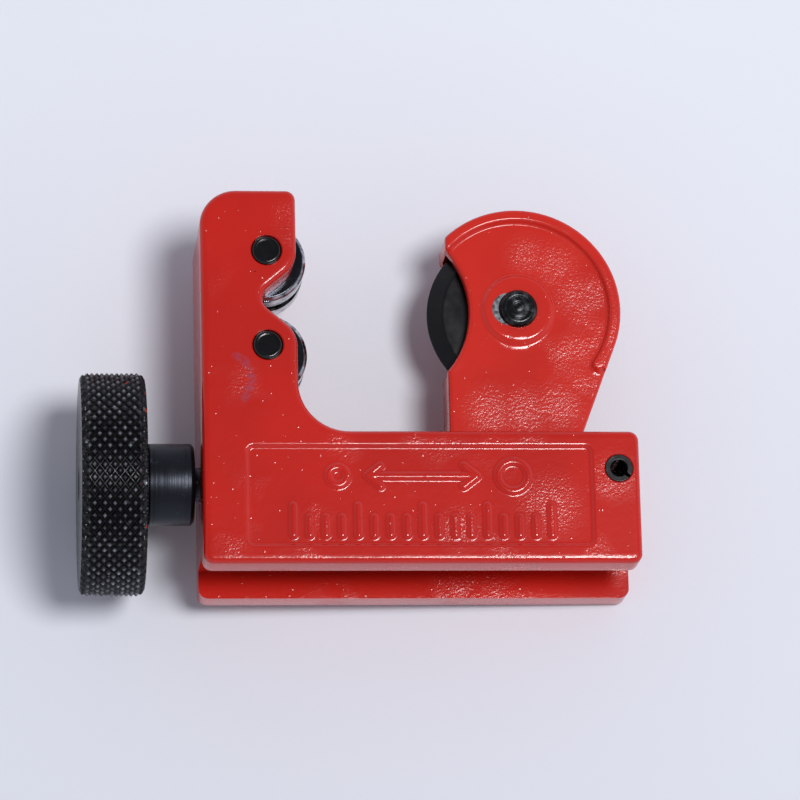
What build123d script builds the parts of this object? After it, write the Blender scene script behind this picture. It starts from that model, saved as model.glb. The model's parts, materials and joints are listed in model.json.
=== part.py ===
from build123d import *
import os
from math import acos, asin, atan2, cos, degrees, hypot, radians, sin

# Mini tube cutter: an L-shaped die-cast body, a carriage that slides in its channel, and
# a feed screw with a knurled knob that drives the carriage.  Millimetres.
#
# Every piece is drawn in the tool's own axes: X runs along the feed screw from the knob
# side of the body, Y runs up the arm from the screw's axis, and Z crosses the thickness
# from the middle plane.  The last section lays the finished tool on a flat surface.

# ---------------------------------------------------------------- body casting
body_length = 62.0
base_top = 5.5            # the base's upper edge above the screw's axis
front_bottom = -13.7      # the front plate's lower edge
rear_drop = 1.8           # the rear plate reaches this much lower
pin_land = 4.25           # the arm reaches this far past the roller pins' axis
plate = 5.1               # wall thickness of the front and rear plates
end_wall = 5.0            # wall that carries the screw
end_wall_bottom = -11.5
end_wall_top = 8.0
arm_web = 3.0             # wall behind the rollers
arm_cap = 2.55            # wall over the upper roller
heel_radius = 5.2         # outer corner between the arm's back and top
corner_radius = 1.4
throat_radius = 7.2       # inner corner between the arm and the base
casting_edge = 0.8        # rounding along the outside edges of both castings
panel_left = 6.3          # plain margins round the sunk panel
panel_right = 6.9
panel_top = 2.3
panel_bottom = 2.6
panel_depth = 0.4
panel_corner = 0.7

# ---------------------------------------------------------------- rollers and their pins
roller_middle = 25.0      # height midway between the two rollers
roller_pitch = 14.0
roller_radius = 6.0
roller_wall = 1.95        # left between the pin and the bottom of the groove
roller_clearance = 0.45   # between each roller and the arm's web and cap
roller_groove_width = 2.6
roller_chamfer = 0.5
roller_side_gap = 0.3
roller_pin_radius = 2.2
roller_pin_proud = 0.15   # the pin's front end stands out of the plate
roller_pin_inset = 0.3    # its rear end stops inside the plate
pin_chamfer = 0.4
notch_arc = 50.0          # how far the arm's edge follows each pin, in degrees
notch_radius = 2.0

# ---------------------------------------------------------------- feed screw, knob, sleeve
journal_radius = 2.4      # smooth end that turns in the end wall and carries the knob
screw_radius = 3.0        # over the thread
screw_end_gap = 0.6       # between the screw's end and the stop pin
screw_chamfer = 0.8
knob_radius = 15.9
knob_width = 9.25
knob_edge = 1.1
knob_inset = 0.6          # the screw's outer end lies this far inside the knob's face
sleeve_radius = 5.85
sleeve_length = 7.05
sleeve_chamfer = 0.5
sleeve_neck_width = 0.6
sleeve_neck_depth = 0.5
sleeve_play = 0.8         # gap between the sleeve and the body
washer_radius = 4.5
washer_thickness = 0.9
axial_play = 0.15

# ---------------------------------------------------------------- carriage and cutter
axle_x = 46.0
head_wall = 1.6           # left round the wheel's slot
carriage_side_gap = 0.2   # between the carriage and each plate
foot_wall = 1.65          # left beside the screw's bore
foot_front = 10.3         # the foot reaches this far ahead of the axle
foot_back = 7.9           # and this far behind it
foot_bottom = -7.5
foot_corner = 1.0
foot_shoulder = 1.0       # the foot's square end rises this far above the screw
mouth_radius = 14.0       # hollow of the head's front edge, where a large tube passes
mouth_depth = 3.3
rim_width = 1.7
rim_end_angle = -36.0
face_recess = 0.8
boss_radius = 5.05
wheel_slot = 4.6
wheel_slot_clearance = 0.5
wheel_radius = 12.8
wheel_disc = 2.2
wheel_hub = 3.0
wheel_hub_radius = 5.2
wheel_bevel = 2.2
wheel_edge = 0.2
axle_radius = 2.4
axle_head_radius = 2.75
axle_head_length = 1.2
axle_head_proud = 0.7
axle_dome = 0.5
axle_tail = 2.0           # length that stands out behind the carriage
axle_groove_radius = 1.7
axle_ring_radius = 4.2
axle_ring_thickness = 0.7
axle_ring_mouth = 2.6
spacer_thickness = 0.6
spacer_radius = 4.4

# ---------------------------------------------------------------- stop pin
stop_pin_inset = 3.0      # from the body's open end
stop_pin_radius = 2.0
stop_pin_bore = 1.2
stop_pin_slit = 0.5
stop_pin_slit_angle = -40.0

# ---------------------------------------------------------------- fits
running = 0.05            # radial clearance of a turning fit

# ---------------------------------------------------------------- derived places
half_carriage = screw_radius + running + foot_wall
half_channel = half_carriage + carriage_side_gap
channel = 2 * half_channel
half_thickness = half_channel + plate
rear_bottom = front_bottom - rear_drop
roller_x = arm_web + roller_clearance + roller_radius
roller_groove_radius = roller_pin_radius + running + roller_wall
arm_width = roller_x + pin_land
arm_top = roller_middle + roller_pitch / 2 + roller_radius + roller_clearance + arm_cap
stop_pin_x = body_length - stop_pin_inset
screw_end = stop_pin_x - stop_pin_radius - screw_end_gap
roller_heights = {"upper": roller_middle + roller_pitch / 2, "lower": roller_middle - roller_pitch / 2}
axle_y = roller_middle
head_radius = wheel_radius + wheel_slot_clearance + head_wall
foot_left = axle_x - foot_front
foot_right = axle_x + foot_back
foot_top = screw_radius + foot_shoulder
axle_seat = half_carriage - axle_head_length
sleeve_right = -sleeve_play
sleeve_left = sleeve_right - sleeve_length
knob_left = sleeve_left - knob_width
screw_start = knob_left + knob_inset
washer_left = end_wall + axial_play
thread_start = washer_left + washer_thickness + axial_play
axle_ring_front = -half_carriage - axial_play
ring_slack = 0.05


def plate_outline(bottom: float) -> Sketch:
    """Side view of the body: the arm with its notch, the throat's inner corner and the base."""
    edge_radius = arm_width - roller_x
    low_y = roller_heights["lower"]
    high_y = roller_heights["upper"]
    angle = radians(notch_arc)
    run = (roller_pitch / 2 - edge_radius * sin(angle)) / cos(angle)
    notch_tip = (roller_x + edge_radius * cos(angle) - run * sin(angle), roller_middle)
    with BuildSketch() as outline:
        with BuildLine():
            base = Polyline(
                (0, arm_top), (0, bottom), (body_length, bottom), (body_length, base_top),
                (arm_width, base_top), (arm_width, low_y),
            )
            low_arc = CenterArc((roller_x, low_y), edge_radius, 0, notch_arc)
            high_arc = CenterArc((roller_x, high_y), edge_radius, 360 - notch_arc, notch_arc)
            Polyline(low_arc @ 1, notch_tip, high_arc @ 0)
            Polyline(high_arc @ 1, (arm_width, arm_top), base @ 0)
        make_face()
        corners = outline.vertices()
        fillet(corners.sort_by_distance((0, arm_top))[0], heel_radius)
        fillet(outline.vertices().sort_by_distance((arm_width, base_top))[0], throat_radius)
        fillet(outline.vertices().sort_by_distance(notch_tip)[0], notch_radius)
        for x, y in ((0, bottom), (body_length, bottom), (body_length, base_top), (arm_width, arm_top)):
            fillet(outline.vertices().sort_by_distance((x, y))[0], corner_radius)
    return outline.sketch


# ---------------------------------------------------------------- body casting
with BuildPart() as body_casting:
    for side, bottom in ((1, front_bottom), (-1, rear_bottom)):
        with BuildSketch(Plane.XY.offset(side * half_channel)):
            add(plate_outline(bottom))
        extrude(amount=side * plate)
        outer_face = body_casting.faces().filter_by(Axis.Z).sort_by(Axis.Z)[-1 if side > 0 else 0]
        fillet(outer_face.outer_wire().edges(), casting_edge)
    walls = (
        (0, end_wall, end_wall_bottom, end_wall_top),
        (0, arm_web, end_wall_top, arm_top),
        (0, arm_width, arm_top - arm_cap, arm_top),
    )
    for left, right, low, high in walls:
        with BuildSketch(Plane.XY.offset(-half_channel)):
            add(plate_outline(end_wall_bottom))
            with Locations(((left + right) / 2, (low + high) / 2)):
                Rectangle(right - left, high - low, mode=Mode.INTERSECT)
        extrude(amount=channel)
    # bore that carries the feed screw
    with BuildSketch(Plane.YZ):
        Circle(journal_radius + running)
    extrude(amount=end_wall, mode=Mode.SUBTRACT)
    # cross holes for the roller pins and the stop pin
    with BuildSketch(Plane.XY.offset(-half_thickness)):
        with Locations(*((roller_x, y) for y in roller_heights.values())):
            Circle(roller_pin_radius)
        with Locations((stop_pin_x, 0)):
            Circle(stop_pin_radius)
    extrude(amount=2 * half_thickness, mode=Mode.SUBTRACT)
    # sunk panel on the front
    with BuildSketch(Plane.XY.offset(half_thickness - panel_depth)):
        with Locations((panel_left, front_bottom + panel_bottom)):
            RectangleRounded(
                body_length - panel_left - panel_right,
                base_top - front_bottom - panel_top - panel_bottom,
                panel_corner,
                align=(Align.MIN, Align.MIN),
            )
    extrude(amount=panel_depth, mode=Mode.SUBTRACT)
body_casting.part.label = "body_casting"


# ---------------------------------------------------------------- rollers and their pins
def grooved_roller(height: float) -> Part:
    """A roller on its pin, with the groove that lets the wheel's edge pass."""
    half_length = half_channel - roller_side_gap
    half_groove = roller_groove_width / 2
    bore = roller_pin_radius + running
    with BuildPart() as roller:
        with BuildSketch(Plane.XZ):
            with BuildLine():
                Polyline(
                    (bore, -half_length), (roller_radius - roller_chamfer, -half_length),
                    (roller_radius, -half_length + roller_chamfer), (roller_radius, -half_groove),
                    (roller_groove_radius, -half_groove), (roller_groove_radius, half_groove),
                    (roller_radius, half_groove), (roller_radius, half_length - roller_chamfer),
                    (roller_radius - roller_chamfer, half_length), (bore, half_length),
                    close=True,
                )
            make_face()
        revolve(axis=Axis.Z)
    return roller.part.moved(Location((roller_x, height, 0)))


def roller_pin(height: float) -> Part:
    """The fixed pin that a roller turns on, pressed through both plates."""
    rear = -half_thickness + roller_pin_inset
    length = half_thickness + roller_pin_proud - rear
    with BuildPart() as pin:
        with BuildSketch(Plane.XY.offset(rear)):
            with Locations((roller_x, height)):
                Circle(roller_pin_radius)
        extrude(amount=length)
        chamfer(pin.edges().filter_by(GeomType.CIRCLE), pin_chamfer)
    return pin.part


rollers = {}
for place, height in roller_heights.items():
    for kind, make in (("roller", grooved_roller), ("roller_pin", roller_pin)):
        piece = make(height)
        piece.label = f"{place}_{kind}"
        rollers[piece.label] = piece

# ---------------------------------------------------------------- feed screw and knob
with BuildPart() as feed_screw:
    for start, end, radius in (
        (screw_start, thread_start, journal_radius),
        (thread_start, screw_end, screw_radius),
    ):
        with BuildSketch(Plane.YZ.offset(start)):
            Circle(radius)
        extrude(amount=end - start)
    rims = feed_screw.edges().filter_by(GeomType.CIRCLE).sort_by(Axis.X)
    chamfer([rims[0], rims[-1]], screw_chamfer)
feed_screw.part.label = "feed_screw"

with BuildPart() as knurled_knob:
    with BuildSketch(Plane.YZ.offset(knob_left)):
        Circle(knob_radius)
    extrude(amount=knob_width)
    fillet(knurled_knob.edges().filter_by(GeomType.CIRCLE), knob_edge)
    with BuildSketch(Plane.YZ.offset(knob_left)):
        Circle(journal_radius)
    extrude(amount=knob_width, mode=Mode.SUBTRACT)
knurled_knob.part.label = "knurled_knob"

with BuildPart() as spacer_sleeve:
    with BuildSketch(Plane.YZ.offset(sleeve_left)):
        Circle(sleeve_radius)
    extrude(amount=sleeve_length)
    chamfer(spacer_sleeve.edges().filter_by(GeomType.CIRCLE).sort_by(Axis.X)[-1], sleeve_chamfer)
    with BuildSketch(Plane.YZ.offset(sleeve_left)):
        Circle(sleeve_radius)
        Circle(sleeve_radius - sleeve_neck_depth, mode=Mode.SUBTRACT)
    extrude(amount=sleeve_neck_width, mode=Mode.SUBTRACT)
    with BuildSketch(Plane.YZ.offset(sleeve_left)):
        Circle(journal_radius)
    extrude(amount=sleeve_length, mode=Mode.SUBTRACT)
spacer_sleeve.part.label = "spacer_sleeve"

with BuildPart() as thrust_washer:
    with BuildSketch(Plane.YZ.offset(washer_left)):
        Circle(washer_radius)
        Circle(journal_radius + running, mode=Mode.SUBTRACT)
    extrude(amount=washer_thickness)
thrust_washer.part.label = "thrust_washer"


# ---------------------------------------------------------------- carriage casting
def head_tangent() -> float:
    """Angle where the sloping back of the carriage leaves the round head, in radians."""
    across = foot_right - axle_x
    down = axle_y - foot_top
    return atan2(-down, across) + acos(head_radius / hypot(across, down))


def carriage_outline() -> Sketch:
    """Side view of the carriage: round head, hollow mouth, sloping back and square foot."""
    leave = head_tangent()
    middle = (axle_x, axle_y)
    back = (axle_x + head_radius * cos(leave), axle_y + head_radius * sin(leave))
    with BuildSketch() as outline:
        with Locations(middle):
            Circle(head_radius)
        with BuildLine():
            Polyline(
                (foot_left, axle_y), middle, back, (foot_right, foot_top),
                (foot_right, foot_bottom), (foot_left, foot_bottom),
                close=True,
            )
        make_face()
        with Locations((foot_left - head_radius / 2, axle_y)):
            Rectangle(head_radius, 2 * head_radius, mode=Mode.SUBTRACT)
        with Locations((foot_left + mouth_depth - mouth_radius, axle_y)):
            Circle(mouth_radius, mode=Mode.SUBTRACT)
        for x in (foot_left, foot_right):
            fillet(outline.vertices().sort_by_distance((x, foot_bottom))[0], foot_corner)
    return outline.sketch


def rim_band() -> Sketch:
    """The raised rim, from the mouth over the top to its end behind the axle."""
    end = radians(rim_end_angle)
    reach = 2 * head_radius
    with BuildSketch() as band:
        with Locations((axle_x, axle_y)):
            Circle(head_radius)
            Circle(head_radius - rim_width, mode=Mode.SUBTRACT)
        with BuildLine():
            Polyline(
                (axle_x, axle_y), (axle_x + reach * cos(end), axle_y + reach * sin(end)),
                (axle_x, axle_y - 2 * reach), (axle_x - reach, axle_y), close=True,
            )
        make_face(mode=Mode.SUBTRACT)
    return band.sketch


def sunk_face() -> Sketch:
    """The part of each side that lies lower than the rim, the boss and the foot."""
    with BuildSketch() as face:
        add(carriage_outline())
        with Locations((axle_x, foot_bottom)):
            Rectangle(2 * head_radius, 2 * (foot_top - foot_bottom), mode=Mode.SUBTRACT)
        add(rim_band(), mode=Mode.SUBTRACT)
        with Locations((axle_x, axle_y)):
            Circle(boss_radius, mode=Mode.SUBTRACT)
    return face.sketch


with BuildPart() as carriage_casting:
    with BuildSketch(Plane.XY.offset(-half_carriage)):
        add(carriage_outline())
    extrude(amount=2 * half_carriage)
    for side in (1, -1):
        with BuildSketch(Plane.XY.offset(side * half_carriage)):
            add(sunk_face())
        extrude(amount=-side * face_recess, mode=Mode.SUBTRACT)
    # round slot for the cutter wheel, open through the mouth
    with BuildSketch(Plane.XY.offset(-wheel_slot / 2)):
        with Locations((axle_x, axle_y)):
            Circle(wheel_radius + wheel_slot_clearance)
    extrude(amount=wheel_slot, mode=Mode.SUBTRACT)
    # hole for the axle, with a seat for its head
    for start, radius in ((-half_carriage, axle_radius), (axle_seat, axle_head_radius)):
        with BuildSketch(Plane.XY.offset(start)):
            with Locations((axle_x, axle_y)):
                Circle(radius)
        extrude(amount=half_carriage - start, mode=Mode.SUBTRACT)
    # bore for the feed screw
    with BuildSketch(Plane.YZ.offset(foot_left)):
        Circle(screw_radius + running)
    extrude(amount=foot_right - foot_left, mode=Mode.SUBTRACT)
carriage_casting.part.label = "carriage_casting"

# ---------------------------------------------------------------- cutter wheel and its axle
with BuildPart() as cutter_wheel:
    bevel_start = wheel_radius - wheel_bevel
    with BuildSketch(Plane.XZ):
        with BuildLine():
            Polyline(
                (axle_radius + running, 0), (axle_radius + running, wheel_hub / 2),
                (wheel_hub_radius, wheel_hub / 2), (wheel_hub_radius, wheel_disc / 2),
                (bevel_start, wheel_disc / 2), (wheel_radius, wheel_edge / 2), (wheel_radius, 0),
                close=True,
            )
        make_face()
        mirror(about=Plane.XZ)
    revolve(axis=Axis.Z)
cutter_wheel.part.label = "cutter_wheel"
cutter_wheel.part.position = (axle_x, axle_y, 0)

with BuildPart() as wheel_spacers:
    for side in (1, -1):
        with BuildSketch(Plane.XY.offset(side * (wheel_slot + wheel_hub) / 4)):
            with Locations((axle_x, axle_y)):
                Circle(spacer_radius)
                Circle(axle_radius + running, mode=Mode.SUBTRACT)
        extrude(amount=spacer_thickness / 2, both=True)
wheel_spacers.part.label = "wheel_spacers"

with BuildPart() as wheel_axle:
    for start, end, radius in (
        (axle_seat, half_carriage + axle_head_proud, axle_head_radius),
        (-half_carriage - axle_tail, axle_seat, axle_radius),
    ):
        with BuildSketch(Plane.XY.offset(start)):
            with Locations((axle_x, axle_y)):
                Circle(radius)
        extrude(amount=end - start)
    rims = wheel_axle.edges().filter_by(GeomType.CIRCLE).sort_by(Axis.Z)
    chamfer([rims[0], rims[-1]], axle_dome)
    # groove for the retaining ring
    with BuildSketch(Plane.XY.offset(axle_ring_front + ring_slack)):
        with Locations((axle_x, axle_y)):
            Circle(axle_radius)
            Circle(axle_groove_radius, mode=Mode.SUBTRACT)
    extrude(amount=-(axle_ring_thickness + 2 * ring_slack), mode=Mode.SUBTRACT)
wheel_axle.part.label = "wheel_axle"

with BuildPart() as axle_retaining_ring:
    with BuildSketch(Plane.XY.offset(axle_ring_front)):
        with Locations((axle_x, axle_y)):
            Circle(axle_ring_radius)
            Circle(axle_groove_radius + running, mode=Mode.SUBTRACT)
        with Locations((axle_x + axle_ring_radius, axle_y)):
            Rectangle(2 * axle_ring_radius, axle_ring_mouth, mode=Mode.SUBTRACT)
    extrude(amount=-axle_ring_thickness)
axle_retaining_ring.part.label = "axle_retaining_ring"

# ---------------------------------------------------------------- stop pin
with BuildPart() as stop_pin:
    with BuildSketch(Plane.XY.offset(-half_thickness)):
        with Locations((stop_pin_x, 0)):
            Circle(stop_pin_radius)
            Circle(stop_pin_bore, mode=Mode.SUBTRACT)
            with Locations(Location((0, 0), stop_pin_slit_angle)):
                Rectangle(
                    stop_pin_radius + 1, stop_pin_slit,
                    align=(Align.MIN, Align.CENTER), mode=Mode.SUBTRACT,
                )
    extrude(amount=2 * half_thickness)
stop_pin.part.label = "stop_pin"

# ---------------------------------------------------------------- lay the tool down
# The knob is wider than the body, so the tool lies on the knob's inner rim and on the
# body's far lower edge, tilted about Y by the angle at which both touch the surface.
rim_centre = (sleeve_left - knob_edge, -knob_radius + knob_edge)
edge_centre = (body_length - casting_edge, -half_thickness + casting_edge)
run = edge_centre[0] - rim_centre[0]
rise = edge_centre[1] - rim_centre[1]
tilt = degrees(atan2(rise, run) - asin((casting_edge - knob_edge) / hypot(run, rise)))

pieces = [
    body_casting.part, *rollers.values(), feed_screw.part, knurled_knob.part, spacer_sleeve.part,
    thrust_washer.part, carriage_casting.part, cutter_wheel.part, wheel_spacers.part,
    wheel_axle.part, axle_retaining_ring.part, stop_pin.part,
]
lying = Location((0, 0, 0), (0, tilt, 0))
box = Compound([piece.moved(lying) for piece in pieces]).bounding_box()
rest = Location((-box.center().X, -box.center().Y, -box.min.Z)) * lying

os.makedirs("parts", exist_ok=True)
for piece in pieces:
    placed = piece.moved(rest)
    placed.label = piece.label
    export_step(placed, f"parts/{piece.label}.step")
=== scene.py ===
"""Mini tube cutter: the looks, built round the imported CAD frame.

The tool lies on a pale floor.  Each piece is a surface worked out over a grid or along a
profile in the tool's own millimetres, and it rides on the body of the CAD node it stands for.
"""

import json
import logging
import math
from dataclasses import dataclass, field
from enum import Enum
from typing import Any, Iterable, Sequence

import bmesh
import bpy
import numpy as np
from mathutils import Matrix, Vector
from mathutils.geometry import tessellate_polygon


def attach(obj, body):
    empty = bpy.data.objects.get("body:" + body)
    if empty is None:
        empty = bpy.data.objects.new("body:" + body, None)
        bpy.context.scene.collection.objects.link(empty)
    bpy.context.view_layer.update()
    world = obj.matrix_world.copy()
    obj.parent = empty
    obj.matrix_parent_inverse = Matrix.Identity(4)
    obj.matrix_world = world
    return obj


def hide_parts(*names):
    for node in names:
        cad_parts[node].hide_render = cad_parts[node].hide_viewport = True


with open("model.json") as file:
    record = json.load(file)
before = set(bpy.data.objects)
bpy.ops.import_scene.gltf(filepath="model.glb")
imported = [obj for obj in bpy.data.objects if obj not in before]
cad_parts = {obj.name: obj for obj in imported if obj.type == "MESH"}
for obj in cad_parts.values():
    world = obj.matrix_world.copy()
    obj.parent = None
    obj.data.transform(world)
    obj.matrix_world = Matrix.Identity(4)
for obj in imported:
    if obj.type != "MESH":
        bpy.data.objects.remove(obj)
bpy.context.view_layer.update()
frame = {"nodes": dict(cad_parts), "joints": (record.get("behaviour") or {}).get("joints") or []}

MM = 0.001
FULL_TURN = 2 * math.pi
MERGE_MM = 0.0005  # points nearer than this are one
EDGE_STEPS = 5  # steps in the quarter circle of a rounded edge
CURVE_STEPS = 4  # steps in a profile's rounded corner
IN_PLANE = (1, 1, 0)  # keeps x and y, and drops the height
LOG = logging.getLogger("tube_cutter")


class Axis(Enum):
    """The tool axis that a turned piece is turned about."""

    SCREW = "x"
    PIN = "z"


# ------------------------------------------------------------------------------ the tool's axes
@dataclass(frozen=True)
class ToolFrame:
    """The tool's own axes, in millimetres.

    x runs along the feed screw from the body's knob side, y up the arm from the screw's
    axis, and z across the thickness from the middle plane.

    Args:
        origin: where the screw's axis leaves the body, in metres in the row frame.
        axes: the unit vectors x, y and z, one to a row.
    """

    origin: np.ndarray
    axes: np.ndarray

    @classmethod
    def from_joints(cls, joints: Sequence[dict[str, Any]]) -> "ToolFrame":
        """Reads the axes from the knob's joint and from a roller's joint.

        Args:
            joints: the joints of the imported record.

        Returns:
            The tool's frame; y is z crossed with x.
        """
        named = {joint["name"]: joint for joint in joints}
        along = np.array(named["knob_spin"]["axis"], float)
        across = np.array(named["upper_roller_spin"]["axis"], float)
        along /= np.linalg.norm(along)
        across /= np.linalg.norm(across)
        origin = np.array(named["knob_spin"]["pos_m"], float)
        return cls(origin, np.stack([along, np.cross(across, along), across]))

    def place(self, points: np.ndarray) -> np.ndarray:
        """Turns points in tool millimetres into row-frame metres."""
        return self.origin + (points * MM) @ self.axes

    def locate(self, points: np.ndarray) -> np.ndarray:
        """Turns points in row-frame metres into tool millimetres."""
        return (np.asarray(points, float) - self.origin) @ self.axes.T / MM

    def span(self, node: str) -> tuple[np.ndarray, np.ndarray]:
        """Measures a CAD node along the tool's axes.

        Args:
            node: the CAD node's name.

        Returns:
            Its lowest and highest x, y and z in tool millimetres.
        """
        mesh = frame["nodes"][node].data
        flat = np.empty(len(mesh.vertices) * 3, np.float32)
        mesh.vertices.foreach_get("co", flat)
        points = self.locate(flat.reshape(-1, 3))
        return points.min(axis=0), points.max(axis=0)

    def joint_centre(self, name: str) -> np.ndarray:
        """Where a hinge's axis stands, in tool millimetres."""
        found = next(joint for joint in frame["joints"] if joint["name"] == name)
        return self.locate(found["pos_m"])


# ------------------------------------------------------------------------------ outlines
@dataclass(frozen=True)
class Arc:
    """One arc of an outline that is followed with the material on its left.

    Args:
        centre: the arc's centre.
        radius: its radius.
        start: the angle where it starts, in degrees.
        end: the angle where it ends; smaller than start on a hollow arc.
    """

    centre: tuple[float, float]
    radius: float
    start: float
    end: float


@dataclass(frozen=True)
class Outline:
    """A closed flat outline: its points, and the direction out of the material at each."""

    points: np.ndarray
    normals: np.ndarray

    @classmethod
    def from_arcs(cls, arcs: Iterable[Arc], chord: float = 0.35) -> "Outline":
        """Joins arcs by straight lines.

        On an arc a point is the centre plus the radius times (cos a, sin a), and its normal is
        (cos a, sin a), turned round where the arc is hollow.

        Args:
            arcs: the arcs in order, anticlockwise round the material.
            chord: the longest chord along an arc, in millimetres.

        Returns:
            The outline.
        """
        points, normals = [], []
        for arc in arcs:
            turn = math.radians(abs(arc.end - arc.start))
            steps = max(3, math.ceil(turn * arc.radius / chord), math.ceil(turn / 0.26))
            angle = np.radians(np.linspace(arc.start, arc.end, steps + 1))
            ray = np.stack([np.cos(angle), np.sin(angle)], axis=1)
            points.append(np.array(arc.centre) + arc.radius * ray)
            normals.append(ray if arc.end > arc.start else -ray)
        return cls(np.concatenate(points), np.concatenate(normals))

    @classmethod
    def from_corners(cls, corners: Sequence[tuple[float, float, float]]) -> "Outline":
        """Rounds each corner of a polygon with an arc that touches both of its sides.

        The arc's centre lies on the corner's bisector, at the radius over the sine of half
        the corner's angle.

        Args:
            corners: x, y and radius of each corner, anticlockwise.

        Returns:
            The outline.
        """
        table = np.array(corners, float)
        here, radius = table[:, :2], table[:, 2]
        back = np.roll(here, 1, axis=0) - here
        ahead = np.roll(here, -1, axis=0) - here
        back /= np.linalg.norm(back, axis=1)[:, None]
        ahead /= np.linalg.norm(ahead, axis=1)[:, None]
        half = np.arccos(np.clip((back * ahead).sum(axis=1), -1, 1)) / 2
        bisector = back + ahead
        bisector /= np.linalg.norm(bisector, axis=1)[:, None]
        centre = here + bisector * (radius / np.sin(half))[:, None]
        solid = (ahead[:, 0] * back[:, 1] - ahead[:, 1] * back[:, 0]) > 0
        touch = radius / np.tan(half)
        arcs = []
        for i in range(len(table)):
            ends = [here[i] + side[i] * touch[i] - centre[i] for side in (back, ahead)]
            start, end = (math.degrees(math.atan2(e[1], e[0])) for e in ends)
            turn = (end - start) % 360 if solid[i] else -((start - end) % 360)
            arcs.append(Arc((centre[i][0], centre[i][1]), radius[i], start, start + turn))
        return cls.from_arcs(arcs)

    def divided(self, step: float) -> "Outline":
        """Adds points evenly along the straight stretches.

        Args:
            step: the longest stretch that is left, in millimetres.

        Returns:
            The same outline with more points.
        """
        gap = np.linalg.norm(np.roll(self.points, -1, axis=0) - self.points, axis=1)
        pieces = np.maximum(1, np.ceil(gap / step)).astype(int)
        first = np.repeat(np.arange(len(gap)), pieces)
        offset = np.arange(pieces.sum()) - np.repeat(np.cumsum(pieces) - pieces, pieces)
        share = (offset / np.repeat(pieces, pieces))[:, None]
        second = (first + 1) % len(gap)
        points = self.points[first] * (1 - share) + self.points[second] * share
        normals = self.normals[first] * (1 - share) + self.normals[second] * share
        return Outline(points, normals / np.linalg.norm(normals, axis=1)[:, None])


# ------------------------------------------------------------------------------ surfaces
@dataclass(frozen=True)
class Shell:
    """A surface in tool millimetres: points, and faces as tuples of point numbers."""

    points: np.ndarray
    faces: list[Sequence[int]]

    @classmethod
    def grid(cls, points: np.ndarray, wrap_rows: bool = False, wrap_columns: bool = False) -> "Shell":
        """Joins a grid of points into four-sided faces.

        Args:
            points: an array of rows by columns by 3.
            wrap_rows: joins the last row to the first.
            wrap_columns: joins the last column to the first.

        Returns:
            The surface.
        """
        rows, columns = points.shape[:2]
        index = np.arange(rows * columns).reshape(rows, columns)
        if wrap_rows:
            index = np.concatenate([index, index[:1]])
        if wrap_columns:
            index = np.concatenate([index, index[:, :1]], axis=1)
        quads = np.stack([index[:-1, :-1], index[1:, :-1], index[1:, 1:], index[:-1, 1:]], axis=-1)
        return cls(points.reshape(-1, 3), quads.reshape(-1, 4).tolist())

    @classmethod
    def cap(cls, loops: Sequence[np.ndarray]) -> "Shell":
        """Fills a flat outer loop round any inner loops with triangles.

        Args:
            loops: the points of the outer loop, then those of each inner loop.

        Returns:
            The filled face.
        """
        triangles = tessellate_polygon([[Vector(p) for p in loop] for loop in loops])
        return cls(np.concatenate(loops), [tuple(t) for t in triangles])

    def __add__(self, other: "Shell") -> "Shell":
        """Joins two surfaces.

        Args:
            other: the second surface.

        Returns:
            Both as one.
        """
        shift = len(self.points)
        moved = [tuple(i + shift for i in face) for face in other.faces]
        return Shell(np.concatenate([self.points, other.points]), list(self.faces) + moved)


def turned(
    profile: np.ndarray, axis: Axis, centre: Sequence[float] = (0, 0), steps: int = 96, ring: bool = False
) -> Shell:
    """Turns a profile about an axis: the point at angle a is (r cos a, r sin a) beside height h.

    Args:
        profile: radius and height of each point.
        axis: the axis it turns about.
        centre: where that axis stands across itself.
        steps: how many steps make the full turn.
        ring: joins the profile's last point to its first.

    Returns:
        The turned surface.
    """
    angle = np.arange(steps) * (FULL_TURN / steps)
    radius, height = np.asarray(profile, float).T
    return turned_grid(
        np.broadcast_to(radius, (steps, len(radius))), np.broadcast_to(height, (steps, len(height))),
        angle, axis, centre, ring,
    )


def turned_grid(
    radius: np.ndarray, height: np.ndarray, angle: np.ndarray, axis: Axis, centre: Sequence[float], ring: bool
) -> Shell:
    """Turns a radius that changes with the angle as well.

    Args:
        radius: the radius at each angle and each place along the profile.
        height: the height there.
        angle: the angles, in radians.
        axis: the axis it turns about.
        centre: where that axis stands across itself.
        ring: joins the profile's last point to its first.

    Returns:
        The surface, closed round the axis.
    """
    first = centre[0] + radius * np.cos(angle)[:, None]
    second = centre[1] + radius * np.sin(angle)[:, None]
    order = (height, first, second) if axis is Axis.SCREW else (first, second, height)
    return Shell.grid(np.stack(order, axis=-1), wrap_rows=True, wrap_columns=ring)


def rounded_profile(corners: Sequence[tuple[float, float, float]]) -> np.ndarray:
    """Rounds the inner corners of an open profile with short curves.

    Each corner becomes a quadratic curve from one side to the other, whose ends lie at the
    corner's radius from it and whose control point is the corner.

    Args:
        corners: radius, height and rounding of each corner.

    Returns:
        The profile's points.
    """
    table = np.array(corners, float)
    here, size = table[:, :2], table[:, 2]
    parts = []
    for i in range(len(table)):
        if size[i] == 0 or i in (0, len(table) - 1):
            parts.append(here[i : i + 1])
            continue
        back, ahead = here[i - 1] - here[i], here[i + 1] - here[i]
        start = here[i] + back * (size[i] / np.linalg.norm(back))
        end = here[i] + ahead * (size[i] / np.linalg.norm(ahead))
        t = np.linspace(0, 1, CURVE_STEPS + 1)[:, None]
        parts.append((1 - t) ** 2 * start + 2 * t * (1 - t) * here[i] + t**2 * end)
    return np.concatenate(parts)


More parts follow.
